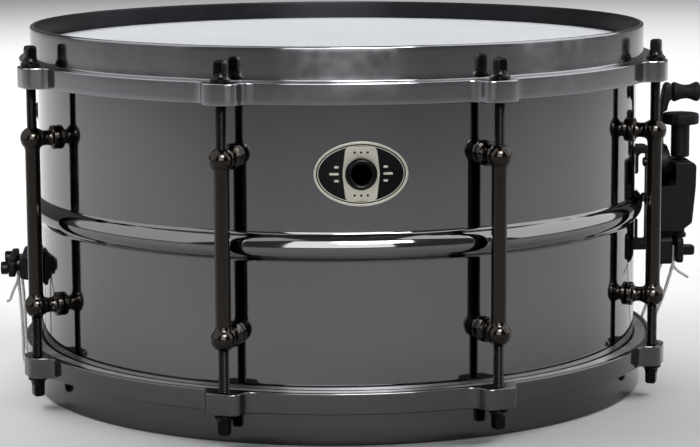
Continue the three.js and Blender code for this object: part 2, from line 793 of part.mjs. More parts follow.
place("butt_body", buttBody(), SATIN_BLACK, Math.PI);
const buttHoles = BUTT_CLAMPS.map((y) => [y, CLAMP_SCREW_HEIGHT]);
const buttPlate = pressurePlate(BUTT_FACE + NIP, BUTT_HALF, -37.7, -27.9, buttHoles);
place("butt_clamp_plate", buttPlate, SATIN_BLACK, Math.PI);
BUTT_CLAMPS.forEach((y, i) => {
  const screw = capScrew(BUTT_FACE + NIP + PLATE_THICK + GAP, 10);
  place("butt_clamp_screw_" + (i + 1), screw.translate(0, y, 0), ROD_BLACK, Math.PI);
});
BUTT_SCREWS.forEach((y, i) => {
  const screw = screwX(159, 2.6, 171.4, 3.8, MOUNT_SCREW);
  place("butt_mount_screw_" + (i + 1), screw.translate(0, y, BUTT_SCREW_HEIGHT), STEEL, Math.PI);
});

place("snare_wires", snareWires(), STEEL);
place("strainer_cord", cord(strainerRun), CORD_WHITE);
place("butt_cord", cord(buttRun), CORD_WHITE, Math.PI);

const group = new THREE.Group();
group.add(drum);
export default group;
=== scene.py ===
"""Looks of a 13 x 7 inch metal snare drum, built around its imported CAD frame."""
import math
import random

import bmesh
import bpy
import numpy as np
from mathutils import Matrix, Vector


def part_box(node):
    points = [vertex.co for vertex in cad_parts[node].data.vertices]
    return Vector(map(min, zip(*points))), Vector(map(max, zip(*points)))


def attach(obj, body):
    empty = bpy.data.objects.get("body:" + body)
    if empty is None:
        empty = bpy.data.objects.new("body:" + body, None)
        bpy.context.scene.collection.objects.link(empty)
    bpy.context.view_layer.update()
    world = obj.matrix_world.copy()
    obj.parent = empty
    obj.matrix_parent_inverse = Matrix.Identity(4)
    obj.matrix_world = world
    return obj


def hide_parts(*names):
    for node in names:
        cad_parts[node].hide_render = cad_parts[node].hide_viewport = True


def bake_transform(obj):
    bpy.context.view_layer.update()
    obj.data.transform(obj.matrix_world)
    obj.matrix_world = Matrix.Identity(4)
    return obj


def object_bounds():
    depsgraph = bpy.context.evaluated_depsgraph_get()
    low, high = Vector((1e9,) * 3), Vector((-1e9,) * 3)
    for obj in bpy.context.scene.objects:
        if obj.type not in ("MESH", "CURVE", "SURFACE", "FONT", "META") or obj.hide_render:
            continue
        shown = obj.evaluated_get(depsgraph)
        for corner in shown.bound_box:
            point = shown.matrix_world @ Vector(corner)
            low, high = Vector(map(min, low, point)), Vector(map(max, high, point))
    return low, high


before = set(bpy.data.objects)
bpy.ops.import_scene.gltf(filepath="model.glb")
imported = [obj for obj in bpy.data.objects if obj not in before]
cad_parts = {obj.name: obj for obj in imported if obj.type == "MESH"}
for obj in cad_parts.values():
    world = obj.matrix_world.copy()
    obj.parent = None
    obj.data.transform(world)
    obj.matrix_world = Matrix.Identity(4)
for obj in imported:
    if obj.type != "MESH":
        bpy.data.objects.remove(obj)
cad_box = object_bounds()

# Shapes are written in mm with heights above the shell's middle, then moved into the row frame.
MM = 0.001
SHELL_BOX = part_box("shell")
MID = (SHELL_BOX[0].z + SHELL_BOX[1].z) / 2


def mm_box(node):
    """Lowest and highest corner of a CAD node in mm, heights above the shell's middle."""
    low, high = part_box(node)
    shift = Vector((0, 0, MID))
    return (low - shift) / MM, (high - shift) / MM


SHELL_R = 164.5
SHELL_WALL = 1.5
SHELL_HALF = mm_box("shell")[1].z
RIM_TOP = mm_box("batter_hoop")[1].z
LEDGE = 82.0
BAND_LOW = mm_box("batter_hoop")[0].z
BAND_R = 174.2
LUG_R = 178.1
BALL_Z = 44.45
BALL_R = 6.25
ROD_R = 2.75
ROD_END = mm_box("batter_rod_1")[0].z
HEAD_END = mm_box("batter_rod_1")[1].z
PITCH = 25.4 / 24
VENT_Z = 36.6
WIRE_Z = mm_box("snare_wires")[0].z + 1.05
CORD_R = 0.95
TAIL_R = 0.85
AZIMUTHS = [22.5 + 45 * i for i in range(8)]
BOTH_BALLS = (-BALL_Z, BALL_Z)
FACE = SHELL_R + 0.3  # pieces mounted on the shell start here
BRACKET_SCREWS = (19, -19.5)
BUTT_SCREWS = (-9, 9)
BUTT_SCREW_Z = -34
MOUNT_HOLE = 2.5
VENT_HOLE = 5.9
SCREW_HOLE = 2.3
rng = random.Random(7)


# ---- mesh tools
def to_azimuth(degrees):
    """Turns a shape made at +X to an azimuth counted from -Y towards +X."""
    return Matrix.Rotation(math.radians(degrees - 90), 4, "Z")


FLIP = Matrix.Rotation(math.pi, 4, "X")
TO_X = Matrix.Rotation(math.pi / 2, 4, "Y")
TO_BUTT = Matrix.Rotation(math.pi, 4, "Z")


def arc(cx, cy, radius, start, end, steps):
    """Points on an arc; angles in degrees."""
    angles = np.radians(np.linspace(start, end, steps + 1))
    return [(cx + radius * math.cos(a), cy + radius * math.sin(a)) for a in angles]


def rounded(corners, steps=5):
    """A closed outline from (x, y, radius) corners."""
    out = []
    count = len(corners)
    for i, (x, y, radius) in enumerate(corners):
        here = Vector((x, y))
        before = Vector(corners[i - 1][:2]) - here
        after = Vector(corners[(i + 1) % count][:2]) - here
        if radius <= 0:
            out.append((x, y))
            continue
        half = before.angle(after) / 2
        reach = min(radius / math.tan(half), before.length * 0.49, after.length * 0.49)
        radius = reach * math.tan(half)
        a, b = here + before.normalized() * reach, here + after.normalized() * reach
        centre = here + (before.normalized()
                + after.normalized()).normalized() * (radius / math.sin(half))
        va, vb = a - centre, b - centre
        turn = math.atan2(va.x * vb.y - va.y * vb.x, va.dot(vb))
        for k in range(steps + 1):
            t = turn * k / steps
            out.append((centre.x + va.x * math.cos(t) - va.y * math.sin(t), centre.y + va.x
                        * math.sin(t) + va.y * math.cos(t)))
    return out


def rectangle(x0, y0, x1, y1, radius, steps):
    """A closed rectangular outline with round corners."""
    return rounded([(x0, y0, radius), (x1, y0, radius), (x1, y1, radius), (x0, y1, radius)], steps)


def circle(radius, z, sides=20):
    angles = [2 * math.pi * j / sides for j in range(sides)]
    return [(radius * math.cos(a), radius * math.sin(a), z) for a in angles]


def grid(points, wrap_u=False, wrap_v=True):
    """Vertices and quads of a grid of points[u][v]."""
    points = np.asarray(points, float)
    nu, nv = points.shape[:2]
    faces = []
    for u in range(nu if wrap_u else nu - 1):
        for v in range(nv if wrap_v else nv - 1):
            a, b = u * nv + v, u * nv + (v + 1) % nv
            c, d = ((u + 1) % nu) * nv + (v + 1) % nv, ((u + 1) % nu) * nv + v
            faces.append((a, b, c, d))
    return points.reshape(-1, 3).tolist(), faces


def lathe(profile, sides=64, closed=True):
    """A profile of (radius, height) turned round Z. An open profile starts and ends on the axis."""
    angles = np.linspace(0, 2 * math.pi, sides, endpoint=False)
    rows = [[(r * math.cos(a), r * math.sin(a), z) for a in angles] for r, z in profile]
    return grid(rows, wrap_u=closed, wrap_v=True)


def loft(sections):
    """Closed cross-sections of equal length, capped at both ends."""
    verts, faces = grid(sections)
    n = len(sections[0])
    faces.append(tuple(range(n - 1, -1, -1)))
    faces.append(tuple(range(len(verts) - n, len(verts))))
    return verts, faces


def slab(outline, low, high, bevel=0.5, segments=3):
    """An outline in plan raised from low to high, with rounded rims."""
    bm = bmesh.new()
    bottom = [bm.verts.new((x, y, low)) for x, y in outline]
    top = [bm.verts.new((x, y, high)) for x, y in outline]
    caps = [bm.faces.new(bottom[::-1]), bm.faces.new(top)]
    for i in range(len(outline)):
        j = (i + 1) % len(outline)
        bm.faces.new((bottom[i], bottom[j], top[j], top[i]))
    bmesh.ops.recalc_face_normals(bm, faces=bm.faces[:])
    if bevel:
        rims = list({e for f in caps for e in f.edges})
        bmesh.ops.bevel(bm, geom=rims, offset=bevel, segments=segments, profile=0.5, affect="EDGES",
                clamp_overlap=True)
    return from_bmesh(bm)


def from_bmesh(bm):
    """The vertices and faces of a bmesh, which is freed."""
    bm.verts.index_update()
    part = [tuple(v.co) for v in bm.verts], [tuple(v.index for v in f.verts) for f in bm.faces]
    bm.free()
    return part


def moved(part, *matrices):
    """The part after each matrix in turn."""
    verts, faces = part
    for m in matrices:
        verts = [tuple(m @ Vector(v)) for v in verts]
    return verts, faces


def shift(x=0, y=0, z=0):
    return Matrix.Translation((x, y, z))


def side_slab(outline, half, bevel=0.5, segments=3):
    """An outline in the X-Z plane extended to both sides of Y = 0."""
    return moved(slab(outline, -half, half, bevel, segments), Matrix.Rotation(math.pi / 2, 4, "X"))


def face_slab(outline, x0, x1, bevel=0.5, segments=3):
    """An outline in the Y-Z plane, extended along X."""
    return moved(slab(outline, x0, x1, bevel, segments),
                 Matrix(((0, 0, 1, 0), (1, 0, 0, 0), (0, 1, 0, 0), (0, 0, 0, 1))))


def bar(radius, low, high, sides=32):
    return lathe([(0, low), (radius, low), (radius, high), (0, high)], sides, closed=False)


def bar_x(radius, x0, x1, y=0, z=0, sides=32):
    return moved(bar(radius, x0, x1, sides), TO_X, shift(0, y, z))


def at_balls(part):
    """The part turned to face along X, once at each height of a lug's balls."""
    return [moved(part, TO_X, shift(0, 0, z)) for z in BOTH_BALLS]


def mesh_of(parts):
    """One Blender mesh, still in mm, from closed parts."""
    verts, faces = [], []
    for part_verts, part_faces in parts:
        base = len(verts)
        verts += part_verts
        faces += [tuple(i + base for i in f) for f in part_faces]
    mesh = bpy.data.meshes.new("work")
    mesh.from_pydata(verts, [], faces)
    bm = bmesh.new()
    bm.from_mesh(mesh)
    bmesh.ops.remove_doubles(bm, verts=bm.verts[:], dist=1e-5)
    bmesh.ops.dissolve_degenerate(bm, edges=bm.edges[:], dist=1e-6)
    bmesh.ops.recalc_face_normals(bm, faces=bm.faces[:])
    bm.to_mesh(mesh)
    bm.free()
    return mesh


def boolean(mesh, tools, operation="DIFFERENCE"):
    """The mesh after a boolean with closed parts, which may not meet each other."""
    base = bpy.data.objects.new("base", mesh)
    tool = bpy.data.objects.new("tool", mesh_of(tools))
    for o in (base, tool):
        bpy.context.scene.collection.objects.link(o)
    step = base.modifiers.new("cut", "BOOLEAN")
    step.operation, step.object, step.solver = operation, tool, "EXACT"
    graph = bpy.context.evaluated_depsgraph_get()
    result = bpy.data.meshes.new_from_object(base.evaluated_get(graph))
    for o in (base, tool):
        bpy.data.objects.remove(o)
    return result


def settle(mesh, crease=35):
    """Smooth shading with sharp edges above the crease angle, and mm turned into the row frame."""
    bm = bmesh.new()
    bm.from_mesh(mesh)
    bmesh.ops.remove_doubles(bm, verts=bm.verts[:], dist=1e-4)
    limit = math.radians(crease)
    for edge in bm.edges:
        edge.smooth = len(edge.link_faces) == 2 and edge.calc_face_angle(0) < limit
    for face in bm.faces:
        face.smooth = True
    bm.to_mesh(mesh)
    bm.free()
    mesh.transform(Matrix.Translation((0, 0, MID)) @ Matrix.Scale(MM, 4))
    mesh.materials.clear()
    return mesh


def place(name, mesh, material, body, replaces=(), matrix=None, even=True):
    """Shows a settled mesh as one piece that rides on a body and stands for CAD nodes."""
    obj = bpy.data.objects.new(name, mesh)
    bpy.context.scene.collection.objects.link(obj)
    if not mesh.materials:
        mesh.materials.append(material)
    if matrix is not None:
        obj.matrix_world = matrix
    if even:
        step = obj.modifiers.new("even", "WEIGHTED_NORMAL")
        step.keep_sharp = True
    if body:
        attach(obj, body)
    if replaces:
        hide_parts(*replaces)
    return obj


def turned_about_middle(matrix):
    """The same turn for a settled mesh, whose shell middle is not at the origin."""
    lift = Matrix.Translation((0, 0, MID))
    return lift @ matrix @ lift.inverted()


# ---- materials
class Nodes:
    """A small builder for one procedural material."""

    def __init__(self, name):
        self.mat = bpy.data.materials.new(name)
        self.mat.use_nodes = True
        self.tree = self.mat.node_tree
        self.bsdf = self.tree.nodes["Principled BSDF"]
        self.coords = self.tree.nodes.new("ShaderNodeTexCoord").outputs["Object"]

    def set(self, **values):
        for key, value in values.items():
            self.bsdf.inputs[key.replace("_", " ")].default_value = value

    def link(self, a, b):
        self.tree.links.new(a, b)

    def stretched(self, scale):
        node = self.tree.nodes.new("ShaderNodeMapping")
        node.inputs["Scale"].default_value = scale
        self.link(self.coords, node.inputs["Vector"])
        return node.outputs["Vector"]

    def noise(self, scale, detail=3, stretch=None, rough=0.55):
        node = self.tree.nodes.new("ShaderNodeTexNoise")
        node.inputs["Scale"].default_value = scale
        node.inputs["Detail"].default_value = detail
        node.inputs["Roughness"].default_value = rough
        self.link(self.stretched(stretch) if stretch else self.coords, node.inputs["Vector"])
        return node.outputs["Fac"]

    def ramp(self, source, stops):
        node = self.tree.nodes.new("ShaderNodeValToRGB")
        ramp = node.color_ramp
        while len(ramp.elements) < len(stops):
            ramp.elements.new(0.5)
        for element, (at, colour) in zip(ramp.elements, stops):
            element.position = at
            element.color = (*colour, 1)
        self.link(source, node.inputs["Fac"])
        return node.outputs["Color"]

    def spread(self, source, low, high, from_low=0.3, from_high=0.7):
        node = self.tree.nodes.new("ShaderNodeMapRange")
        limits = {"From Min": from_low, "From Max": from_high, "To Min": low, "To Max": high}
        for key, value in limits.items():
            node.inputs[key].default_value = value
        self.link(source, node.inputs["Value"])
        return node.outputs["Result"]

    def mix(self, amount, a, b):
        node = self.tree.nodes.new("ShaderNodeMix")
        node.data_type = "RGBA"
        for socket, value in ((node.inputs[0], amount), (node.inputs[6], a), (node.inputs[7], b)):
            if isinstance(value, bpy.types.NodeSocket):
                self.link(value, socket)
            else:
                socket.default_value = (*value, 1) if hasattr(value, "__len__") else value
        return node.outputs[2]

    def math(self, operation, a, b):
        node = self.tree.nodes.new("ShaderNodeMath")
        node.operation = operation
        for socket, value in zip(node.inputs, (a, b)):
            if isinstance(value, bpy.types.NodeSocket):
                self.link(value, socket)
            else:
                socket.default_value = value
        return node.outputs[0]

    def bump(self, height, distance):
        node = self.tree.nodes.new("ShaderNodeBump")
        node.inputs["Distance"].default_value = distance
        node.inputs["Strength"].default_value = 1.0
        self.link(height, node.inputs["Height"])
        self.link(node.outputs["Normal"], self.bsdf.inputs["Normal"])

    def colour(self, source):
        self.link(source, self.bsdf.inputs["Base Color"])

    def roughness(self, source):
        self.link(source, self.bsdf.inputs["Roughness"])


def plated(name, dark, light, smooth, dull, polish, bump, smudge_scale=18):
    """Polished plate: soft colour drift, smudges in the gloss and fine polishing lines."""
    n = Nodes(name)
    n.set(Metallic=1.0)
    drift = n.noise(6, 2)
    n.colour(n.ramp(drift, [(0.3, dark), (0.7, light)]))
    smudge = n.spread(n.noise(smudge_scale, 5, rough=0.65), smooth, dull, 0.42, 0.72)
    lines = n.spread(n.noise(1, 2, stretch=polish), 0, (dull - smooth) * 0.35)
    n.roughness(n.math("ADD", smudge, lines))
    n.bump(n.noise(1, 3, stretch=polish), bump)
    return n.mat


shell_nickel = plated("black_nickel_shell", (0.131, 0.132, 0.135), (0.145, 0.146, 0.15), 0.03, 0.1,
        (9, 9, 900), 6e-7)
hoop_nickel = plated("black_nickel_hoop", (0.19, 0.191, 0.2), (0.215, 0.216, 0.226), 0.08, 0.17,
        (160, 160, 160), 6e-6)
# Painted shade: the lower hoop has the same plating as the upper one, and this darker copy of that
# plating paints in its shade.
lower_hoop_shaded_nickel = plated("black_nickel_lower_hoop_painted_shade", (0.078, 0.078, 0.081), (0.092, 0.092, 0.095),
        0.08, 0.17, (160, 160, 160), 6e-6)
hoop_inside = plated("black_nickel_hoop_inside", (0.012, 0.012, 0.014), (0.022, 0.022, 0.025), 0.3,
        0.45, (160, 160, 160), 1e-5)
lug_black = plated("black_nickel_lug", (0.024, 0.0205, 0.0175), (0.031, 0.027, 0.024), 0.04, 0.12,
        (240, 240, 240), 2e-6, 60)
rod_black = plated("black_steel_rod", (0.008, 0.008, 0.009), (0.015, 0.015, 0.0165), 0.18, 0.34,
        (500, 500, 500), 4e-6, 120)
screw_black = plated("black_steel_screw", (0.009, 0.009, 0.01), (0.017, 0.017, 0.019), 0.22, 0.38,
        (600, 600, 600), 4e-6, 120)
steel = plated("bright_steel", (0.52, 0.53, 0.54), (0.62, 0.62, 0.63), 0.16, 0.34, (300, 300, 300),
        3e-6, 90)
aluminium = plated("satin_aluminium", (0.5, 0.51, 0.52), (0.6, 0.61, 0.62), 0.3, 0.46, (30, 30, 1500),
        4e-6, 60)


def painted(name, dark, light, gloss, grain, height):
    """Powder coat: fine pebbled texture, slight colour drift and rubbed spots."""
    n = Nodes(name)
    n.set(**{"Specular IOR Level": 0.09})
    n.colour(n.ramp(n.noise(25, 3), [(0.35, dark), (0.68, light)]))
    n.roughness(n.spread(n.noise(70, 4), gloss, gloss + 0.14))
    n.bump(n.noise(grain, 2), height)
    return n.mat


satin_black = painted("satin_black", (0.0048, 0.0053, 0.007), (0.0062, 0.0069, 0.0088), 0.42, 2200,
        1.2e-5)
grip_rubber = painted("grip_rubber", (0.0065, 0.007, 0.0085), (0.0095, 0.01, 0.0115), 0.55, 1500,
        2.5e-5)
grommet_black = painted("grommet_gloss", (0.004, 0.004, 0.0045), (0.006, 0.006, 0.0065), 0.12, 600,
        3e-6)
enamel_black = painted("enamel_black", (0.003, 0.0035, 0.005), (0.0055, 0.006, 0.008), 0.16, 500, 4e-6)


def cream_enamel():
    n = Nodes("enamel_cream")
    n.colour(n.ramp(n.noise(160, 4), [(0.35, (0.88, 0.84, 0.68)), (0.7, (0.94, 0.91, 0.77))]))
    n.roughness(n.spread(n.noise(220, 3), 0.2, 0.36))
    n.set(**{"Coat Weight": 0.35, "Coat Roughness": 0.12})
    n.bump(n.noise(900, 2), 6e-6)
    return n.mat


def coated_film():
    """White sprayed film; the coating stops short of the collar, where the film is smooth."""
    n = Nodes("coated_film")
    radius = n.tree.nodes.new("ShaderNodeVectorMath")
    radius.operation = "LENGTH"
    n.link(n.stretched((1, 1, 0)), radius.inputs[0])
    edge = n.math("ADD", radius.outputs["Value"], n.math("MULTIPLY", n.noise(160, 4), 0.0016))
    coat = n.spread(edge, 1.0, 0.0, 0.1565, 0.158)
    tone = n.ramp(n.noise(14, 5), [(0.3, (0.55, 0.57, 0.585)), (0.7, (0.60, 0.62, 0.635))])
    n.colour(n.mix(coat, (0.74, 0.77, 0.80), tone))
    n.roughness(n.spread(coat, 0.28, 0.68, 0, 1))
    speckle = n.noise(1400, 4, rough=0.7)
    n.bump(n.math("MULTIPLY", speckle, coat), 9e-5)
    return n.mat


def hazy_film():
    n = Nodes("hazy_film")
    n.colour(n.ramp(n.noise(20, 4), [(0.3, (0.74, 0.76, 0.77)), (0.7, (0.82, 0.83, 0.84))]))
    n.roughness(n.spread(n.noise(60, 4), 0.26, 0.42))
    n.set(IOR=1.5, **{"Transmission Weight": 0.45})
    n.bump(n.noise(700, 2), 3e-6)
    return n.mat


def braided_cord():
    """Three-strand twisted cord: diagonal ridges with fuzz."""
    n = Nodes("braided_cord")
    fuzz = n.noise(3500, 4, rough=0.7)
    n.colour(n.ramp(n.noise(900, 4), [(0.32, (0.66, 0.66, 0.64)), (0.62, (0.9, 0.9, 0.88))]))
    n.roughness(n.spread(fuzz, 0.6, 0.85))
    n.bump(fuzz, 6e-5)
    return n.mat


enamel_cream = cream_enamel()
batter_white = coated_film()
snare_haze = hazy_film()
cord_white = braided_cord()


# ---- shell, vent and badge
def bead_arc(offset):
    """Outer face of the bead, or its inner face at minus the wall, with a fillet at each side."""
    half, rise, fillet = 6.65, 4.2, 2.0
    bend = (half ** 2 + rise ** 2) / (2 * rise)
    centre = SHELL_R + rise - bend
    radius, fillet = bend - offset, fillet + offset
    wall = SHELL_R - offset
    high = math.sqrt((radius + fillet) ** 2 - (wall + fillet - centre) ** 2)
    turn = math.degrees(math.atan2(high, wall + fillet - centre))
    low_side = arc(wall + fillet, -high, fillet, 180, 180 - turn, 5)
    crown = arc(centre, 0, radius, -turn, turn, 18)[1:-1]
    return low_side + crown + [(r, -z) for r, z in low_side[::-1]]


def shell_profile():
    edge = 2.9
    centre_r, centre_z = SHELL_R - edge, SHELL_HALF - edge
    flange = 4.2 * math.sqrt(0.5)
    outside = arc(centre_r, centre_z, edge, 0, 135, 10)
    inside = arc(centre_r, centre_z, edge - SHELL_WALL, 135, 0, 6)
    tips = [(r - flange, z - flange) for r, z in (outside[-1], inside[0])]
    roll = outside + tips + inside
    straight = [15 + 5 * i for i in range(14)]
    upper = [(SHELL_R, z) for z in straight] + roll + [(SHELL_R - SHELL_WALL, z)
            for z in straight[::-1]]
    lower = [(r, -z) for r, z in upper[::-1]]
    return bead_arc(0) + upper + bead_arc(SHELL_WALL)[::-1] + lower


def vent_tool():
    return moved(bar_x(VENT_HOLE, 155, 175, 0, VENT_Z, 48), to_azimuth(0))


def build_shell():
    tools = [vent_tool()]
    for azimuth in AZIMUTHS:
        for z in BOTH_BALLS:
            tools.append(moved(bar_x(SCREW_HOLE, 155, 170, 0, z, 24), to_azimuth(azimuth)))
    for z in BRACKET_SCREWS:
        tools.append(bar_x(MOUNT_HOLE, 155, 170, 0, z, 24))
    for y in BUTT_SCREWS:
        tools.append(moved(bar_x(MOUNT_HOLE, 155, 170, y, BUTT_SCREW_Z, 24), TO_BUTT))
    mesh = settle(boolean(mesh_of([lathe(shell_profile(), 288)]), tools), 40)
    place("shell_beaded", mesh, shell_nickel, "drum_body", ["shell"])


def wrap(part, radius, height):
    """Bends a flat part, drawn with x across, y up and z out, round the shell at the front."""
    verts, faces = part
    out = []
    for x, y, z in verts:
        a = x / radius
        out.append(((radius + z) * math.sin(a), -(radius + z) * math.cos(a), height + y))
    return out, faces


def fill(outline, low, high, bevel, step=1.5):
    """A slab whose faces are divided finely enough to bend."""
    bm = bmesh.new()
    verts, faces = slab(outline, low, high, bevel, 2)
    made = [bm.verts.new(v) for v in verts]
    for f in faces:
        bm.faces.new([made[i] for i in f])
    bmesh.ops.triangulate(bm, faces=bm.faces[:])
    xs = [v[0] for v in verts]
    x = math.floor(min(xs)) + step
    while x < max(xs):
        everything = bm.verts[:] + bm.edges[:] + bm.faces[:]
        bmesh.ops.bisect_plane(bm, geom=everything, plane_co=(x, 0, 0), plane_no=(1, 0, 0))
        x += step
    return from_bmesh(bm)


def ellipse(a, b, steps, cx=0.0, cy=0.0):
    angles = [2 * math.pi * i / steps for i in range(steps)]
    return [(cx + a * math.cos(t), cy + b * math.sin(t)) for t in angles]


def ring(a, b, width, low, high, steps=120):
    """A raised elliptical line with a rounded crown."""
    rows = []
    for i in range(steps):
        t = 2 * math.pi * i / steps
        c, s = math.cos(t), math.sin(t)
        section = [(-width / 2, low), (-width / 2, high - 0.1), (-width / 4, high), (width / 4, high),
                   (width / 2, high - 0.1), (width / 2, low)]
        rows.append([((a + d) * c, (b + d) * s, z) for d, z in section])
    return grid(rows, wrap_u=True)


def build_badge():
    box = mm_box("badge")
    half_w, half_t = (box[1].x - box[0].x) / 2, (box[1].z - box[0].z) / 2
    plate = fill(ellipse(half_w, half_t, 120), 0, 0.5, 0.15)
    mesh = mesh_of([wrap(plate, FACE, VENT_Z)])
    hole = [vent_tool()]
    field = settle(boolean(mesh, hole), 35)
    place("badge_field", field, enamel_black, "drum_body", ["badge"])

    relief = [ring(half_w - 0.65, half_t - 0.65, 1.2, 0.3, 0.8),
              ring(half_w - 2.1, half_t - 2.1, 0.45, 0.3, 0.7)]
    right = [(7.6, -13.4, 2.6), (9.2, 0, 14), (7.6, 13.4, 2.6)]
    outline = [(-7.6, -13.4, 2.6)] + right + [(-7.6, 13.4, 2.6), (-9.2, 0, 14)]
    panel = fill(rounded(outline, 8), 0.3, 0.72, 0.12)
    for side in (-1, 1):
        for row in (-1, 0, 1):
            reach = 15.6 - 2.4 * abs(row)
            bar_line = rectangle(side * 10.9, 3.4 * row - 0.6, side * reach, 3.4 * row + 0.6, 0.5, 3)
            relief.append(fill(bar_line if side > 0 else bar_line[::-1], 0.3, 0.68, 0.1, 4))
    dots = []
    for y in (-10.6, 10.6):
        for x in (-3.2, 0, 3.2):
            dots.append(fill(ellipse(0.6, 0.6, 16, x, y), 0.7, 0.84, 0.05, 4))
    face = boolean(mesh_of([wrap(panel, FACE, VENT_Z)]), hole)
    place("badge_panel", settle(face, 35), enamel_cream, "drum_body")
    lines = settle(mesh_of([wrap(p, FACE, VENT_Z) for p in relief]), 35)
    place("badge_relief", lines, enamel_cream, "drum_body")
    dots = settle(mesh_of([wrap(p, FACE, VENT_Z) for p in dots]), 35)
    place("badge_dots", dots, enamel_black, "drum_body")


def build_grommet():
    outside = SHELL_R + 1.4
    inside = SHELL_R - SHELL_WALL - 0.9
    profile = [(5.0, inside - 1.3), (5.3, inside - 1.5), *arc(6.6, inside - 0.75, 0.72, 270, 450, 8),
               (5.5, inside), (5.5, outside), (7.6, outside),
               *arc(7.3, outside + 0.6, 0.62, -60, 60, 6), *arc(6.5, outside + 1.25, 1.05, 30, 120, 8),
               *arc(5.75, outside + 1.2, 0.75, 130, 190, 5)]
    part = moved(lathe(profile, 72), TO_X, shift(0, 0, VENT_Z), to_azimuth(0))
    place("vent_grommet_turned", settle(mesh_of([part]), 40), grommet_black, "drum_body",
          ["vent_grommet"])


build_shell()
build_badge()
build_grommet()


# ---- heads
def film_profile():
    centre_r, centre_z, under = SHELL_R - 2.9, SHELL_HALF - 2.9, 3.15
    over = under + 0.25
    rings = [0, 1, 12, 40, 80, 110, 135, 150, 158]
    skirt = [84, 80, 76]
    lower = [(r, centre_z + under) for r in rings] + arc(centre_r, centre_z, under, 90, 0, 8)
    lower += [(centre_r + under, z) for z in skirt] + [(centre_r + under, 75)]
    upper = [(centre_r + over, 75)] + [(centre_r + over, z) for z in skirt[::-1]]
    upper += arc(centre_r, centre_z, over, 0, 90, 8) + [(r, centre_z + over) for r in rings[::-1]]
    return lower + upper


def channel_profile():
    """Folded aluminium channel of a counter-hoop, with rolled lips."""
    low, high = mm_box("batter_counter_hoop")[0].z, mm_box("batter_counter_hoop")[1].z
    inner, outer = SHELL_R + 0.8, BAND_R - 2.9
    return rounded([(inner, low, 0.4), (outer, low, 0.4), (outer, high, 1.0), (outer - 1.8, high, 0.5),
            (outer - 1.8, high - 1.4, 0.4), (inner + 1.8, high - 1.4, 0.4), (inner + 1.8, high, 0.5),
            (inner, high, 1.0)], 3)


def build_heads():
    film = settle(mesh_of([lathe(film_profile(), 256, closed=False)]), 40)
    place("batter_head_film", film, batter_white, "drum_body", ["batter_film"])
    lower = settle(mesh_of([moved(lathe(film_profile(), 256, closed=False), FLIP)]), 40)
    place("snare_head_film", lower, snare_haze, "drum_body", ["snare_film"])
    for name, body, turn in (("batter_counter_hoop", "batter_rim", Matrix()),
            ("snare_counter_hoop", "snare_rim", FLIP)):
        channel = settle(mesh_of([moved(lathe(channel_profile(), 192), turn)]), 35)
        place(name + "_channel", channel, aluminium, body, [name])


build_heads()


# ---- hoops
INSIDE_FACE_R = 166.05
EAR = [(173.5, 15.6), (173.75, 14.4), (174.1, 13.3), (174.6, 12.3), (175.3, 11.35), (176.4, 10.6),
       (177.9, 10.0), (179.7, 9.4), (181.2, 8.8), (182.3, 8.0), (183.1, 6.8), (183.6, 5.4),
       (183.9, 3.9), (184.0, 2.6), (184.0, 1.3), (184.0, 0)]


def ear_radii():
    """(azimuth, outer radius) round the whole hoop, close together at the ears."""
    half = [(math.degrees(math.atan2(y, x)), math.hypot(x, y)) for x, y in EAR]
    start = half[0][0]
    plain = [(start + (22.5 - start) * i / 13, BAND_R) for i in range(13, 0, -1)]
    side = plain + half
    samples = []
    for azimuth in AZIMUTHS:
        samples += [(azimuth - a, r) for a, r in side]
        samples += [(azimuth + a, r) for a, r in side[-2:0:-1]]
    return samples


def hoop_profile():
    """(radius, height, share of the ear's reach) round the section of the upper hoop."""
    outer = [(r, z, 1) for r, z in arc(BAND_R - 0.8, BAND_LOW + 0.8, 0.8, -90, 0, 4)]
    outer += [(BAND_R, z, 1) for z in (BAND_LOW + 3, LEDGE - 4)]
    outer += [(r, z, 1) for r, z in arc(BAND_R - 0.7, LEDGE - 0.7, 0.7, 0, 90, 5)]
    rim = [(169.2, LEDGE, 0), (168.7, LEDGE, 0)] + [(r, z, 0) for r,
            z in arc(168.7, LEDGE + 0.7, 0.7, 270, 180, 3)]
    rim += [(168, z, 0) for z in (86, 91, 96)] + [(r, z, 0) for r,
            z in arc(167.0, RIM_TOP - 1.0, 1.0, 0, 90, 5)]
    rim += [(r, z, 0) for r, z in arc(166.5, RIM_TOP - 0.9, 0.9, 90, 180, 5)] + [(165.6, z, 0)
            for z in (93, 87, 80.6)]
    under = [(166.1, 79.9, 0), (171.2, 79.9, 0), (171.6, 79.5, 0), (171.6, 75, 0), (171.6, 71.4, 0),
             (172.0, BAND_LOW, 0)]
    return outer + rim + under


def hoop_part():
    rows = []
    for azimuth, reach in ear_radii():
        a = math.radians(azimuth - 90)
        rows.append([((r + w * (reach - BAND_R)) * math.cos(a), (r + w * (reach - BAND_R))
                      * math.sin(a), z) for r, z, w in hoop_profile()])
    return grid(rows, wrap_u=True)


def gate_tool():
    """Notch through the rim, 70 mm wide with rounded corners, at +X."""
    outline = rounded([(-35, -110, 0), (35, -110, 0), (35, -LEDGE - 0.6, 5), (-35, -LEDGE - 0.6, 5)], 8)
    return face_slab(outline, 150, 180, 0)


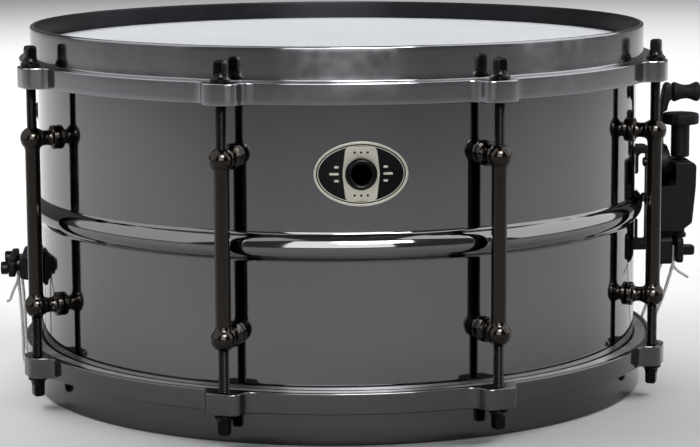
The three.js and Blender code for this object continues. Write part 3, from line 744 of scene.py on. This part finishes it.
def build_hoops():
    holes = [moved(bar(3.4, 69, 84, 32), shift(LUG_R), to_azimuth(a)) for a in AZIMUTHS]
    upper = boolean(mesh_of([hoop_part()]), holes)
    lower = upper.copy()
    lower.transform(FLIP)
    lower = boolean(lower, [gate_tool(), moved(gate_tool(), TO_BUTT)])
    # The lower hoop takes the darker copy of the plating, which is painted shade.
    for mesh, name, body, stands_for, plate in ((upper, "batter_hoop_cast", "batter_rim",
            "batter_hoop", hoop_nickel), (lower, "snare_hoop_cast", "snare_rim", "snare_hoop",
            lower_hoop_shaded_nickel)):
        mesh = settle(mesh, 38)
        mesh.materials.append(plate)
        mesh.materials.append(hoop_inside)
        for face in mesh.polygons:
            face.material_index = int(face.center.xy.length < INSIDE_FACE_R * MM)
        place(name, mesh, plate, body, [stands_for])


build_hoops()


# ---- lugs, rods and washers
def lug_column():
    """Two balls joined by the tube, bored through for the rods."""
    bore = 3.2
    tube = 3.9
    neck = math.degrees(math.asin(tube / BALL_R))
    low_join = -BALL_Z + BALL_R * math.cos(math.radians(neck))
    ball = arc(0, -BALL_Z, BALL_R, -90 + 33, 90 - neck - 6, 22)
    lower = [(bore, -BALL_Z - 5.0), (bore + 0.15, -BALL_Z - 5.25)] + ball
    lower += [(tube + 0.28, low_join + 0.35), (tube + 0.06, low_join + 1.0), (tube, low_join + 1.9)]
    lower += [(tube, z) for z in (-30, -18, -6)]
    outside = lower + [(r, -z) for r, z in lower[::-1]]
    return outside + [(bore, 30), (bore, -30)]


def lug_post():
    """Foot flange, waist and flare, turned about X; the ball hides its inner end."""
    foot = FACE
    return [(0, foot), (5.9, foot), *arc(5.9, foot + 0.4, 0.4, -90, 0, 3),
            *arc(5.7, foot + 2.2, 0.6, 0, 80, 5), (5.2, foot + 2.95), (4.6, foot + 3.2),
            (4.15, foot + 3.9), (3.92, foot + 5.0), (3.9, foot + 6.0), (4.0, foot + 7.1),
            (4.25, foot + 8.0), (4.65, foot + 8.8), (5.0, foot + 9.4), (4.4, foot + 11),
            (0, foot + 11.4)]


def build_lugs():
    column = mesh_of([moved(lathe(lug_column(), 56), shift(LUG_R))])
    post = lathe(lug_post(), 48, closed=False)
    whole = boolean(column, at_balls(post), "UNION")
    bore = [moved(bar(3.2, -60, 60, 40), shift(LUG_R))]
    mesh = settle(boolean(whole, bore), 32)
    shank = lathe([(0, 162.4), (2.1, 162.4), (2.1, 164.2), (0, 164.2)], 24, closed=False)
    head = loft([circle(2.9 * scale, x, 6) for x, scale in ((158.7, 0.86), (159.1, 1), (161.3, 1))])
    disc = [(0, 161.4), (5.6, 161.4), (5.9, 161.7), (5.9, 162.2), (5.6, 162.6), (0, 162.6)]
    disc = lathe(disc, 36, closed=False)
    screw = settle(mesh_of(at_balls(shank) + at_balls(head) + at_balls(disc)), 35)
    for i, azimuth in enumerate(AZIMUTHS):
        turn = turned_about_middle(to_azimuth(azimuth))
        place(f"lug_turned_{i + 1}", mesh, lug_black, "drum_body", [f"lug_{i + 1}"], turn)
        place(f"lug_inside_screws_{i + 1}", screw, steel, "drum_body", (), turn)


def threaded(low, high, radius, depth, sides=20, rows=6):
    """A round bar whose surface carries a right-hand thread between low and high."""
    lines = []
    for z in np.arange(low, high, PITCH / rows):
        ring_points = []
        for j in range(sides):
            a = 2 * math.pi * j / sides
            phase = (z / PITCH - j / sides) % 1
            ease = min(1.0, (z - low) / 1.0, (high - z) / 0.8)
            drop = depth * max(0.0, ease) * (1 - min(1.0, 1.25 * abs(2 * phase - 1)))
            ring_points.append(((radius - drop) * math.cos(a), (radius - drop) * math.sin(a), z))
        lines.append(ring_points)
    return lines


def round_square(half, z, count=32, power=7.0):
    out = []
    for k in range(count):
        a = 2 * math.pi * k / count + math.pi / 4
        c, s = math.cos(a), math.sin(a)
        out.append((half * math.copysign(abs(c) ** (2 / power), c), half
                    * math.copysign(abs(s) ** (2 / power), s), z))
    return out


def key_head(base, top, half=2.9):
    """Square drum-key head with a domed, chamfered end."""
    tall = top - base
    shape = ((0, 1.03), (0.3 * tall, 1.0), (tall - 1.9, 0.98), (tall - 1.2, 0.95), (tall - 0.6, 0.87),
             (tall - 0.2, 0.74), (tall, 0.52))
    return loft([round_square(half * s, base + z) for z, s in shape])


def build_rods():
    seat = LEDGE + 0.3
    rows = [circle(1.9, ROD_END), circle(2.3, ROD_END + 0.4)] + threaded(ROD_END + 0.8, 77, ROD_R, 0.42)
    rows += [circle(ROD_R - 0.05, 77.6), circle(ROD_R - 0.05, seat + 1.5)]
    flange = [(0, seat + 1.05), (4.8, seat + 1.05), *arc(4.85, seat + 1.3, 0.3, -90, 60, 4),
              (4.55, seat + 1.85), (4.1, seat + 2.3), (3.75, seat + 2.9), (3.5, seat + 3.6),
              (3.35, seat + 4.4), (0, seat + 4.5)]
    parts = [loft(rows), lathe(flange, 48, closed=False), key_head(seat + 2.2, HEAD_END)]
    rod = settle(mesh_of([moved(p, shift(LUG_R)) for p in parts]), 30)
    washer = [(ROD_R + 0.15, seat), (4.95, seat), (5.2, seat + 0.2), (5.2, seat + 0.75),
              (5.0, seat + 0.95), (ROD_R + 0.15, seat + 0.95)]
    washer = settle(mesh_of([moved(lathe(washer, 48), shift(LUG_R))]), 35)
    for side, turn in (("batter", Matrix()), ("snare", FLIP)):
        for i, azimuth in enumerate(AZIMUTHS):
            matrix = turned_about_middle(to_azimuth(azimuth) @ turn)
            body, node = f"{side}_tension_{i + 1}", f"{side}_rod_{i + 1}"
            place(f"{side}_tension_rod_{i + 1}", rod, rod_black, body, [node], matrix)
            place(f"{side}_rod_washer_{i + 1}", washer, screw_black, f"{side}_rim", (),
                  matrix)


build_lugs()
build_rods()


# ---- strainer
HOUSING_SCREWS = (-4.8, 4.8)
JAW_TOP = -21.7
JAW_LOW = -37
JAW_SCREW_Z = -31.9
HEAD_IN = 171.8
PIVOT_Z = 18.5
GRIP_Z = 57.8
HOUSING_SCREW_Z = -2.3
CLAMP_SCREW_Z = -32.7
BUTT_CLAMPS = (-17.6, 17.6)
CORD_SIDES = (-13.5, 13.5)
KNOB_X = 192.9
PLATE_IN = 174.4


def build_bracket():
    back = [(FACE, -30.3, 0.6), (176, -30.3, 3.2), (176, 28, 3.2), (FACE, 28, 0.6)]
    upper_foot = [(FACE, 12.7, 0.8), (168, 12.7, 1.4), (168, 24.2, 2.2), (PLATE_IN, 24.2, 1.0)]
    lower_foot = [(PLATE_IN, -25.8, 1.0), (168, -25.8, 2.2), (168, -12.2, 1.4), (FACE, -12.2, 0.8)]
    side = rounded(back + upper_foot + lower_foot, 5)
    holes = [bar_x(SCREW_HOLE, 170, 180, 0, PIVOT_Z)]
    holes += [bar_x(SCREW_HOLE, 170, 180, y, HOUSING_SCREW_Z) for y in HOUSING_SCREWS]
    holes += [bar_x(MOUNT_HOLE, 160, 170, 0, z) for z in BRACKET_SCREWS]
    mesh = settle(boolean(mesh_of([side_slab(side, 8, 0.9, 4)]), holes), 35)
    place("strainer_bracket_formed", mesh, satin_black, "drum_body",
          ["strainer_bracket"])


def build_housing():
    inner, top, shelf = 176.3, 19.7, 7.6
    front = [(190.6, -19.4, 2), (197.4, -14.4, 2.2), (199.2, 6, 30), (199.4, top, 3)]
    back = [(187, top, 0.8), (187, shelf, 1.6), (inner, shelf, 0.8), (inner, -19.4, 1.2)]
    side = rounded(back[3:] + front + back[:3], 8)
    cavity = slab(rectangle(186.9, -9, 196.6, 9, 1.5, 4), -40, 10, 0)
    bores = [moved(bar(5.5, 9, 30, 40), shift(KNOB_X))]
    bores += [bar_x(SCREW_HOLE, 170, 183, y, HOUSING_SCREW_Z) for y in HOUSING_SCREWS]
    shape = boolean(mesh_of([side_slab(side, 15, 3.2, 6)]), [cavity])
    mesh = settle(boolean(shape, bores), 35)
    place("strainer_housing_cast", mesh, satin_black, "drum_body", ["strainer_housing"])


def build_lever():
    hub_in, hub_out = 179.9, 186.4
    hub = [(2.3, hub_in), (9.4, hub_in), *arc(9.4, hub_in + 0.6, 0.6, -90, 0, 4),
           *arc(8.4, hub_out - 2.6, 1.6, 0, 60, 6), (7.0, hub_out - 0.55), (6.6, hub_out - 0.1),
           (6.2, hub_out), (5.4, hub_out), (5.1, hub_out - 0.5), (2.3, hub_out - 0.5)]
    hub = moved(lathe(hub, 72), TO_X, shift(0, 0, PIVOT_Z))
    # (outer X, inner X, height, half width) up the bent arm
    stations = [(182.4, 179.9, 20, 8.4), (182.4, 180.0, 26, 7.2), (182.4, 180.15, 32, 5.6),
                (182.4, 180.3, 38, 4.7), (182.4, 180.75, 44, 4.3), (182.45, 181.0, 46.7, 4.25),
                (183.6, 181.1, 47.2, 4.2), (184.7, 181.2, 47.9, 4.2), (185.1, 181.4, 50.5, 4.2),
                (186.1, 181.65, 53, 4.2), (187.5, 181.85, 54.6, 4.2), (187.5, 182.3, 57.8, 4.2),
                (187.5, 182.9, 60.6, 4.0), (187.0, 183.4, 62.0, 3.6), (185.9, 184.4, 63.0, 2.9)]
    sections = []
    for x1, x0, height, half in stations:
        edge = min(0.9, (x1 - x0) * 0.42)
        sections.append([(x, y, height) for x, y in rectangle(x0, -half, x1, half, edge, 3)])
    arm = loft(sections)
    boss = lathe([(0, 184.6), (3.4, 184.6), (3.9, 185.2), (3.9, 186.8), (3.4, 187.5), (0, 187.5)], 40,
                 closed=False)
    spindle = lathe([(0, 186), (2.4, 186), (2.4, 199.5), (1.9, 200), (0, 200)], 32, closed=False)
    mesh = boolean(mesh_of([hub]), [arm], "UNION")
    mesh = boolean(mesh, [moved(boss, TO_X, shift(0, 0, GRIP_Z))], "UNION")
    mesh = boolean(mesh, [moved(spindle, TO_X, shift(0, 0, GRIP_Z))], "UNION")
    place("throw_lever_forged", settle(mesh, 32), satin_black, "throw_off",
          ["throw_lever"])

    curve = [(187.8, 4.75), (188.1, 5.2), (188.7, 5.45), (189.6, 5.4), (190.6, 5.0), (192.2, 4.4),
             (194, 3.98), (195.8, 3.86), (197.4, 4.05), (198.8, 4.5), (200.0, 5.05), (201.0, 5.4),
             (201.9, 5.45), (202.6, 5.2), (203.1, 4.7), (203.4, 3.9), (203.4, 0)]
    grip = [(0, 200.3), (2.7, 200.3), (2.7, 187.8)] + [(r, x) for x, r in curve]
    part = moved(lathe(grip, 48, closed=False), TO_X, shift(0, 0, GRIP_Z))
    place("lever_grip_moulded", settle(mesh_of([part]), 45), grip_rubber, "throw_off",
          ["lever_grip"])


def build_knob():
    cap = [(0, 39.8), (8.9, 39.8), *arc(9.2, 40.8, 1.0, -90, 0, 5), *arc(8.9, 44.6, 1.3, 0, 75, 5),
           (7.0, 46.05), (0, 46.1)]
    cap_rows = []
    sides = 96
    for r, z in cap:
        line = []
        for j in range(sides):
            a = 2 * math.pi * j / sides
            flute = 0.28 * max(0.0, math.cos(12 * a)) ** 4 if r > 8.7 else 0.0
            line.append(((r - flute) * math.cos(a), (r - flute) * math.sin(a), z))
        cap_rows.append(line)
    sleeve = [(0, 21.4), (4.5, 21.4), *arc(4.5, 22.1, 0.7, -90, 0, 4), (5.2, 38.6), (5.5, 39.3),
              (5.8, 40), (0, 40)]
    stem = [(0, -19), (1.5, -19), (2, -18.5), (2, 21.6), (0, 21.6)]
    parts = [grid(cap_rows)] + [lathe(p, 48, closed=False) for p in (sleeve, stem)]
    mesh = settle(mesh_of([moved(p, shift(KNOB_X)) for p in parts]), 35)
    place("tension_knob_turned", mesh, satin_black, "knob", ["tension_knob"])


def build_carriage():
    block = slab(rectangle(187.4, -8.5, 196.2, 8.5, 0.8, 3), -10.4, 3.4, 0.5)
    mesh = settle(boolean(mesh_of([block]), [moved(bar(SCREW_HOLE, -20, 20, 32), shift(KNOB_X))]), 35)
    place("lift_carriage_block", mesh, steel, "carriage", ["lift_carriage"])


def build_jaw():
    jaw = face_slab(rectangle(-19, JAW_LOW, 19, JAW_TOP, 2.6, 6), 178.4, 185.65, 0.8, 4)
    shelf = rounded([(182, -6, 1), (196.6, -6, 4), (196.6, 6, 4), (182, 6, 1)], 5)
    shelf = slab(shelf, JAW_TOP - 2.4, JAW_TOP, 0.5)
    neck = moved(bar(3.3, JAW_TOP - 1, -13.4, 40), shift(KNOB_X))
    mesh = boolean(mesh_of([jaw]), [shelf], "UNION")
    mesh = boolean(mesh, [neck], "UNION")
    tools = [moved(bar(SCREW_HOLE, -30, 0, 32), shift(KNOB_X)),
             bar_x(SCREW_HOLE, 177, 190, 0, JAW_SCREW_Z)]
    # shallow grooves that keep the two runs of cord in place
    tools += [moved(bar(0.9, -41, -20, 16), shift(186.1, y, 0)) for y in CORD_SIDES]
    place("wire_jaw_cast", settle(boolean(mesh, tools), 35), satin_black, "clamp",
          ["wire_jaw"])

    low, high = mm_box("strainer_clamp_plate")
    plate_part = face_slab(rectangle(-19, low.z, 19, high.z, 2.4, 6), low.x, high.x, 0.9, 4)
    relief = slab([(180, -6.5), (200, -6.5), (200, 6.5), (180, 6.5)], JAW_TOP - 2.7, JAW_TOP + 5, 0)
    mesh = settle(boolean(mesh_of([plate_part]),
            [bar_x(SCREW_HOLE, 180, 200, 0, JAW_SCREW_Z), relief]), 35)
    place("strainer_clamp_plate_cast", mesh, satin_black, "clamp",
          ["strainer_clamp_plate"])


def clamp_screw(x0, shank):
    """Key-headed screw along +X with its collar on x0."""
    collar = [(0, 0), (4, 0), (4.15, 0.25), (4.15, 0.95), (3.9, 1.25), (0, 1.35)]
    rows = [circle(1.3, -shank), circle(1.7, -shank + 0.5)]
    rows += threaded(-shank + 0.7, 0.2, 1.9, 0.3) + [circle(1.8, 0.5)]
    parts = [lathe(collar, 40, closed=False), loft(rows), key_head(1.0, 9.6)]
    return [moved(p, TO_X, shift(x0, 0, JAW_SCREW_Z)) for p in parts]


def round_screw(x0, head, x1, head_radius, radius):
    """Pan-headed screw, its head at the low X end; the cross recess is cut by the caller."""
    profile = [(0, x0), (head_radius * 0.55, x0 + 0.05), (head_radius * 0.85, x0 + 0.4),
               (head_radius, x0 + 1.0), (head_radius, x0 + head - 0.15),
               (head_radius - 0.15, x0 + head), (radius, x0 + head), (radius, x1 - 0.4),
               (radius - 0.4, x1), (0, x1)]
    return moved(lathe(profile, 40, closed=False), TO_X)


def recess(x0, size):
    """Cross-shaped tool for a screw's drive."""
    cross = []
    for k in range(4):
        c, s = math.cos(k * math.pi / 2), math.sin(k * math.pi / 2)
        for y, z in ((0.32, 0.32), (0.32, size), (-0.32, size)):
            cross.append((y * c - z * s, y * s + z * c))
    return face_slab(cross, x0 - 1, x0 + 1.0, 0)


def build_screws():
    mesh = settle(mesh_of(clamp_screw(192.25, 11)), 30)
    place("strainer_clamp_screw_key", mesh, screw_black, "clamp",
          ["strainer_clamp_screw"])
    pin = [(0, HEAD_IN), (1.9, HEAD_IN + 0.05), (2.5, HEAD_IN + 0.4), (2.6, HEAD_IN + 0.8),
           (2.6, HEAD_IN + 2.2), (2.5, HEAD_IN + 2.3), (2, HEAD_IN + 2.3), (2, 185.7), (1.7, 186),
           (0, 186)]
    mesh = settle(mesh_of([moved(lathe(pin, 40, closed=False), TO_X, shift(0, 0, PIVOT_Z))]), 35)
    place("lever_pivot_pin_turned", mesh, screw_black, "drum_body", ["lever_pivot_pin"])
    small = settle(boolean(mesh_of([round_screw(HEAD_IN, 2.3, 182.5, 2.6, 2)]),
            [recess(HEAD_IN, 1.4)]), 35)
    for i, y in enumerate(HOUSING_SCREWS):
        place(f"housing_screw_pan_{i + 1}", small, screw_black, "drum_body",
              [f"housing_screw_{i + 1}"], Matrix.Translation((0, y * MM, HOUSING_SCREW_Z * MM)))
    inner = settle(boolean(mesh_of([round_screw(159.8, 2.4, 167.2, 3.8, 1.9)]), [recess(159.8, 2.0)]),
            35)
    for i, z in enumerate(BRACKET_SCREWS):
        place(f"bracket_screw_pan_{i + 1}", inner, steel, "drum_body",
              [f"bracket_screw_{i + 1}"], Matrix.Translation((0, 0, z * MM)))
    mount = settle(boolean(mesh_of([round_screw(159, 2.6, 171.4, 3.8, 1.9)]), [recess(159, 2.0)]), 35)
    for i, y in enumerate(BUTT_SCREWS):
        place(f"butt_mount_screw_pan_{i + 1}", mount, steel, "drum_body",
              [f"butt_mount_screw_{i + 1}"], TO_BUTT @ Matrix.Translation((0, y * MM, BUTT_SCREW_Z
                * MM)))


# ---- butt plate
def build_butt():
    foot = [(FACE, -42.3, 0.6), (168.5, -42.3, 2)]
    jaw = [(170.6, -39.2, 2.5), (175.65, -38.6, 2), (175.65, -27, 2.4), (170.2, -26.4, 2.5)]
    side = rounded(foot + jaw + [(167.6, -23.5, 1.6), (FACE, -23.5, 0.6)], 5)
    holes = [bar_x(SCREW_HOLE, 167, 180, y, CLAMP_SCREW_Z) for y in BUTT_CLAMPS]
    holes += [bar_x(MOUNT_HOLE, 160, 172, y, BUTT_SCREW_Z) for y in BUTT_SCREWS]
    holes += [moved(bar(0.9, -46, -22, 16), shift(176.1, y, 0)) for y in CORD_SIDES]
    mesh = boolean(mesh_of([side_slab(side, 21, 1.6, 5)]), holes)
    mesh.transform(TO_BUTT)
    place("butt_body_cast", settle(mesh, 35), satin_black, "drum_body", ["butt_body"])

    plate = face_slab(rectangle(-21, -37.7, 21, -27.9, 3, 6), 178.15, 181.95, 0.9, 4)
    holes = [bar_x(SCREW_HOLE, 170, 190, y, CLAMP_SCREW_Z) for y in BUTT_CLAMPS]
    mesh = boolean(mesh_of([plate]), holes)
    mesh.transform(TO_BUTT)
    place("butt_clamp_plate_cast", settle(mesh, 35), satin_black, "drum_body",
          ["butt_clamp_plate"])

    rows = [circle(1.3, 172.3), circle(1.7, 172.8)]
    rows += threaded(173, 182.3, 1.9, 0.3)
    head = [(0, 182.25), (3.3, 182.25), (3.5, 182.45), (3.5, 184.9), *arc(2.7, 185.3, 0.8, 0, 90, 5),
            (1.9, 186.1), (1.55, 185.9), (1.55, 184.1), (0, 183.9)]
    parts = [loft(rows), lathe(head, 40, closed=False)]
    mesh = settle(mesh_of([moved(p, TO_X, shift(0, 0, CLAMP_SCREW_Z)) for p in parts]), 30)
    for i, y in enumerate(BUTT_CLAMPS):
        place(f"butt_clamp_screw_key_{i + 1}", mesh, screw_black, "drum_body",
              [f"butt_clamp_screw_{i + 1}"], TO_BUTT @ Matrix.Translation((0, y * MM, 0)))


build_bracket()
build_housing()
build_lever()
build_knob()
build_carriage()
build_jaw()
build_screws()
build_butt()


# ---- snare wires and cords
def tube(points, radius, sides=8):
    """A round tube along points, with rounded ends."""
    points = [Vector(p) for p in points]
    rows = []
    normal = None
    for i, p in enumerate(points):
        along = (points[min(i + 1, len(points) - 1)] - points[max(i - 1, 0)]).normalized()
        if normal is None:
            normal = along.orthogonal().normalized()
        normal = (normal - along * normal.dot(along)).normalized()
        other = along.cross(normal)
        scale = 0.55 if i in (0, len(points) - 1) else 1.0
        rows.append([p + (normal * math.cos(a) + other * math.sin(a)) * radius * scale
                     for a in np.linspace(0, 2 * math.pi, sides, endpoint=False)])
    return loft([[tuple(v) for v in row] for row in rows])


def smooth_path(points, per=8):
    """A Catmull-Rom curve through points."""
    p = [Vector(q) for q in points]
    p = [p[0] * 2 - p[1]] + p + [p[-1] * 2 - p[-2]]
    out = []
    for i in range(1, len(p) - 2):
        for k in range(per):
            t = k / per
            out.append(0.5 * ((2 * p[i]) + (p[i + 1] - p[i - 1]) * t
                    + (2 * p[i - 1] - 5 * p[i] + 4 * p[i + 1] - p[i + 2]) * t * t
                    + (3 * p[i] - p[i - 1] - 3 * p[i + 1] + p[i + 2]) * t ** 3))
    out.append(p[-2])
    return out


def build_wires():
    parts = []
    pitch, per_turn, coil, wire = 2.4, 7, 0.8, 0.25
    end = 131
    count = int(2 * end / pitch * per_turn)
    for i in range(20):
        y = (i - 9.5) * 2.3
        phase = rng.random() * 2 * math.pi
        points = [(-end - 4, y, WIRE_Z), (-end - 1, y, WIRE_Z)]
        for k in range(count + 1):
            x = -end + 2 * end * k / count
            grow = min(1.0, (x + end + 0.5) / 2.5, (end + 0.5 - x) / 2.5)
            a = phase + 2 * math.pi * k / per_turn
            points.append((x, y + coil * grow * math.cos(a), WIRE_Z + coil * grow * math.sin(a)))
        points += [(end + 1, y, WIRE_Z), (end + 4, y, WIRE_Z)]
        parts.append(tube(points, wire, 4))
    wires = settle(mesh_of(parts), 80)
    coils = place("snare_coils", wires, steel, None, ["snare_wires"], even=False)
    low, high = WIRE_Z - 0.75, WIRE_Z + 0.45
    for side, body in ((1, "carriage"), (-1, "drum_body")):
        outline = rounded([(131, -25, 1.5), (146, -25, 4), (150, -20, 2), (150, 20, 2), (146, 25, 4),
                (131, 25, 1.5)], 5)
        plate = mesh_of([slab(outline, low, high, 0.3, 2)])
        slots = [rectangle(145.2, y - 1.6, 148.6, y + 1.6, 1, 4) for y in (-18.5, 18.5)]
        holes = [slab(slot, low - 1, high + 1, 0) for slot in slots]
        plate = boolean(plate, holes)
        ends = [(145.3, -5.8, 2), (146.6, -7.2, 1.2), (149.4, -7.2, 1)]
        rib = rounded(ends + [(x, -y, r) for x, y, r in ends[::-1]], 4)
        rib = slab(rib, low - 2.1, low + 0.3, 0.5)
        plate = boolean(plate, [rib], "UNION")
        if side < 0:
            plate.transform(TO_BUTT)
        place("snare_plate_" + ("strainer" if side > 0 else "butt"), settle(plate, 35), steel, body)
    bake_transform(coils)


def cord_points(nip, heights, kink):
    """One cord from the nip, through the gate, round the snare plate and back, as in the CAD."""
    gate = [(175.3, -73), (175.2, -81), (174.6, -85.4), (171.5, -88.4), (165, -91), (156, -92.6)]
    spread = CORD_SIDES[1]
    half = [(x, spread, z) for x, z in [(nip, z) for z in heights] + [kink] + gate]
    half += [(148.6, 0.985 * spread, -92.95), (144.6, 0.72 * spread, -93), (143.6, 0, -93)]
    return half + [(x, -y, z) for x, y, z in half[-2::-1]]


def twisted(points, radius, turn=5.0, sides=12):
    """A three-strand cord along points."""
    path = smooth_path(points, 10)
    rows, normal, travelled = [], None, 0.0
    for i, p in enumerate(path):
        along = (path[min(i + 1, len(path) - 1)] - path[max(i - 1, 0)]).normalized()
        if normal is None:
            normal = along.orthogonal().normalized()
        normal = (normal - along * normal.dot(along)).normalized()
        other = along.cross(normal)
        if i:
            travelled += (p - path[i - 1]).length
        scale = 0.6 if i in (0, len(path) - 1) else 1.0
        row = []
        for k in range(sides):
            a = 2 * math.pi * k / sides
            lobe = 1 - 0.1 * (0.5 + 0.5 * math.cos(3 * (a - 2 * math.pi * travelled / (3 * turn))))
            row.append(tuple(p + (normal * math.cos(a) + other * math.sin(a)) * radius * lobe * scale))
        rows.append(row)
    return loft(rows)


def build_cords():
    strainer = settle(mesh_of([twisted(cord_points(186.9, (-27, -33, -38), (182, -55)), CORD_R)]), 60)
    place("strainer_cord_twisted", strainer, cord_white, "carriage", ["strainer_cord"])
    butt = mesh_of([twisted(cord_points(176.9, (-30, -36, -40.5), (175.8, -56)), CORD_R)])
    butt.transform(TO_BUTT)
    place("butt_cord_twisted", settle(butt, 60), cord_white, "drum_body", ["butt_cord"])
    tail = [(186.9, -13.5, -34), (187.0, -13.6, -37.6), (188.6, -14.2, -40.4), (191.5, -15, -42.6)]
    mesh = settle(mesh_of([twisted(tail + [(195.5, -16, -45)], TAIL_R)]), 60)
    place("strainer_cord_tails", mesh, cord_white, "clamp")
    tail = [(-176.9, -15.5, -36.5), (-177.3, -15.6, -40.4), (-178.8, -15.8, -43.5)]
    tail += [(-180.4, -16, -47), (-181.6, -16.3, -50.4), (-183.6, -16.8, -51.6)]
    mesh = settle(mesh_of([twisted(tail, TAIL_R)]), 60)
    place("butt_cord_tails", mesh, cord_white, "drum_body")


build_wires()
build_cords()


# ---- studio
def build_camera():
    heading, pitch, roll = (math.radians(a) for a in (4.2776, 8.9727, 0.25))
    ahead = Vector((math.sin(heading) * math.cos(pitch), math.cos(heading) * math.cos(pitch),
            -math.sin(pitch)))
    right = Vector((math.cos(heading), -math.sin(heading), 0))
    up = right.cross(ahead)
    right, up = right * math.cos(roll) - up * math.sin(roll), up * math.cos(roll) + right * math.sin(roll)
    data = bpy.data.cameras.new("camera")
    data.sensor_width, data.lens = 36, 124.77
    data.clip_start, data.clip_end = 0.05, 60
    camera = bpy.data.objects.new("camera", data)
    camera.matrix_world = Matrix((right, up, -ahead)).transposed().to_4x4()
    camera.location = (-0.0931, -1.3354, 0.1081)
    bpy.context.scene.collection.objects.link(camera)
    bpy.context.scene.camera = camera


def softbox(name, at, target, size, power):
    """A lamp that lights the scene and leaves no reflection in glossy metal."""
    data = bpy.data.lights.new(name, "AREA")
    data.shape, data.size, data.size_y = "RECTANGLE", size[0], size[1]
    data.energy = power
    obj = bpy.data.objects.new(name, data)
    obj.location = at
    obj.rotation_mode = "QUATERNION"
    obj.rotation_quaternion = (Vector(target) - Vector(at)).to_track_quat("-Z", "Y")
    obj.visible_glossy = False
    bpy.context.scene.collection.objects.link(obj)


def panel(name, azimuth, near, far, width, radiance):
    """A sloping reflector that only shows in glossy metal, from far out at the floor to near and high."""
    (r0, z0), (r1, z1) = far, near
    a = math.radians(azimuth)
    out = Vector((math.sin(a), -math.cos(a), 0))
    low, high = out * r0 + Vector((0, 0, z0)), out * r1 + Vector((0, 0, z1))
    up = (high - low).normalized()
    across = Vector((math.cos(a), math.sin(a), 0))
    tall = (high - low).length
    data = bpy.data.lights.new(name, "AREA")
    data.shape, data.size, data.size_y = "RECTANGLE", width, tall
    data.energy = radiance * math.pi * width * tall
    obj = bpy.data.objects.new(name, data)
    facing = across.cross(up)
    if facing.dot(out) > 0:
        facing = -facing
    across = up.cross(-facing)
    obj.matrix_world = Matrix((across, up, -facing)).transposed().to_4x4()
    obj.location = (low + high) / 2
    obj.visible_diffuse = False
    obj.visible_camera = False
    bpy.context.scene.collection.objects.link(obj)


def build_studio():
    ground = cad_box[0].z
    mesh = bpy.data.meshes.new("floor")
    corners = [(x, y, ground) for x, y in ((-12, -12), (12, -12), (12, 12), (-12, 12))]
    mesh.from_pydata(corners, [], [(0, 1, 2, 3)])
    floor = bpy.data.objects.new("floor", mesh)
    bpy.context.scene.collection.objects.link(floor)
    n = Nodes("floor_white")
    n.colour(n.ramp(n.noise(3, 2), [(0.3, (0.89, 0.89, 0.895)), (0.7, (0.91, 0.91, 0.915))]))
    n.set(Roughness=0.9, **{"Specular IOR Level": 0.1})
    mesh.materials.append(n.mat)
    world = bpy.data.worlds.new("studio")
    world.use_nodes = True
    sky = world.node_tree.nodes["Background"]
    sky.inputs["Color"].default_value = (0.96, 0.975, 1.0, 1)
    sky.inputs["Strength"].default_value = 0.15
    bpy.context.scene.world = world
    softbox("side_left", (-1.2, 0.15, 1.2), (-0.45, 0.0, -0.19), (1.0, 1.0), 12)
    softbox("side_right", (1.2, 0.15, 1.2), (0.45, 0.0, -0.19), (1.0, 1.0), 12)
    softbox("back", (-0.3, 1.9, 1.4), (0, 0.9, -0.19), (3.2, 1.4), 46)
    panel("strip_front", -3.6, (1.9, 2.1), (1.9, -0.06), 1.3, 5.0)
    panel("catch_front", 10, (1.35, 1.25), (1.7, 0.8), 0.8, 34)
    panel("strip_left", -83, (0.4, 1.2), (1.8, -0.06), 1.7, 1.5)
    panel("strip_right", 88, (0.4, 1.2), (1.8, -0.06), 1.7, 2.4)
    bpy.context.scene.view_settings.view_transform = "Standard"


build_camera()
build_studio()
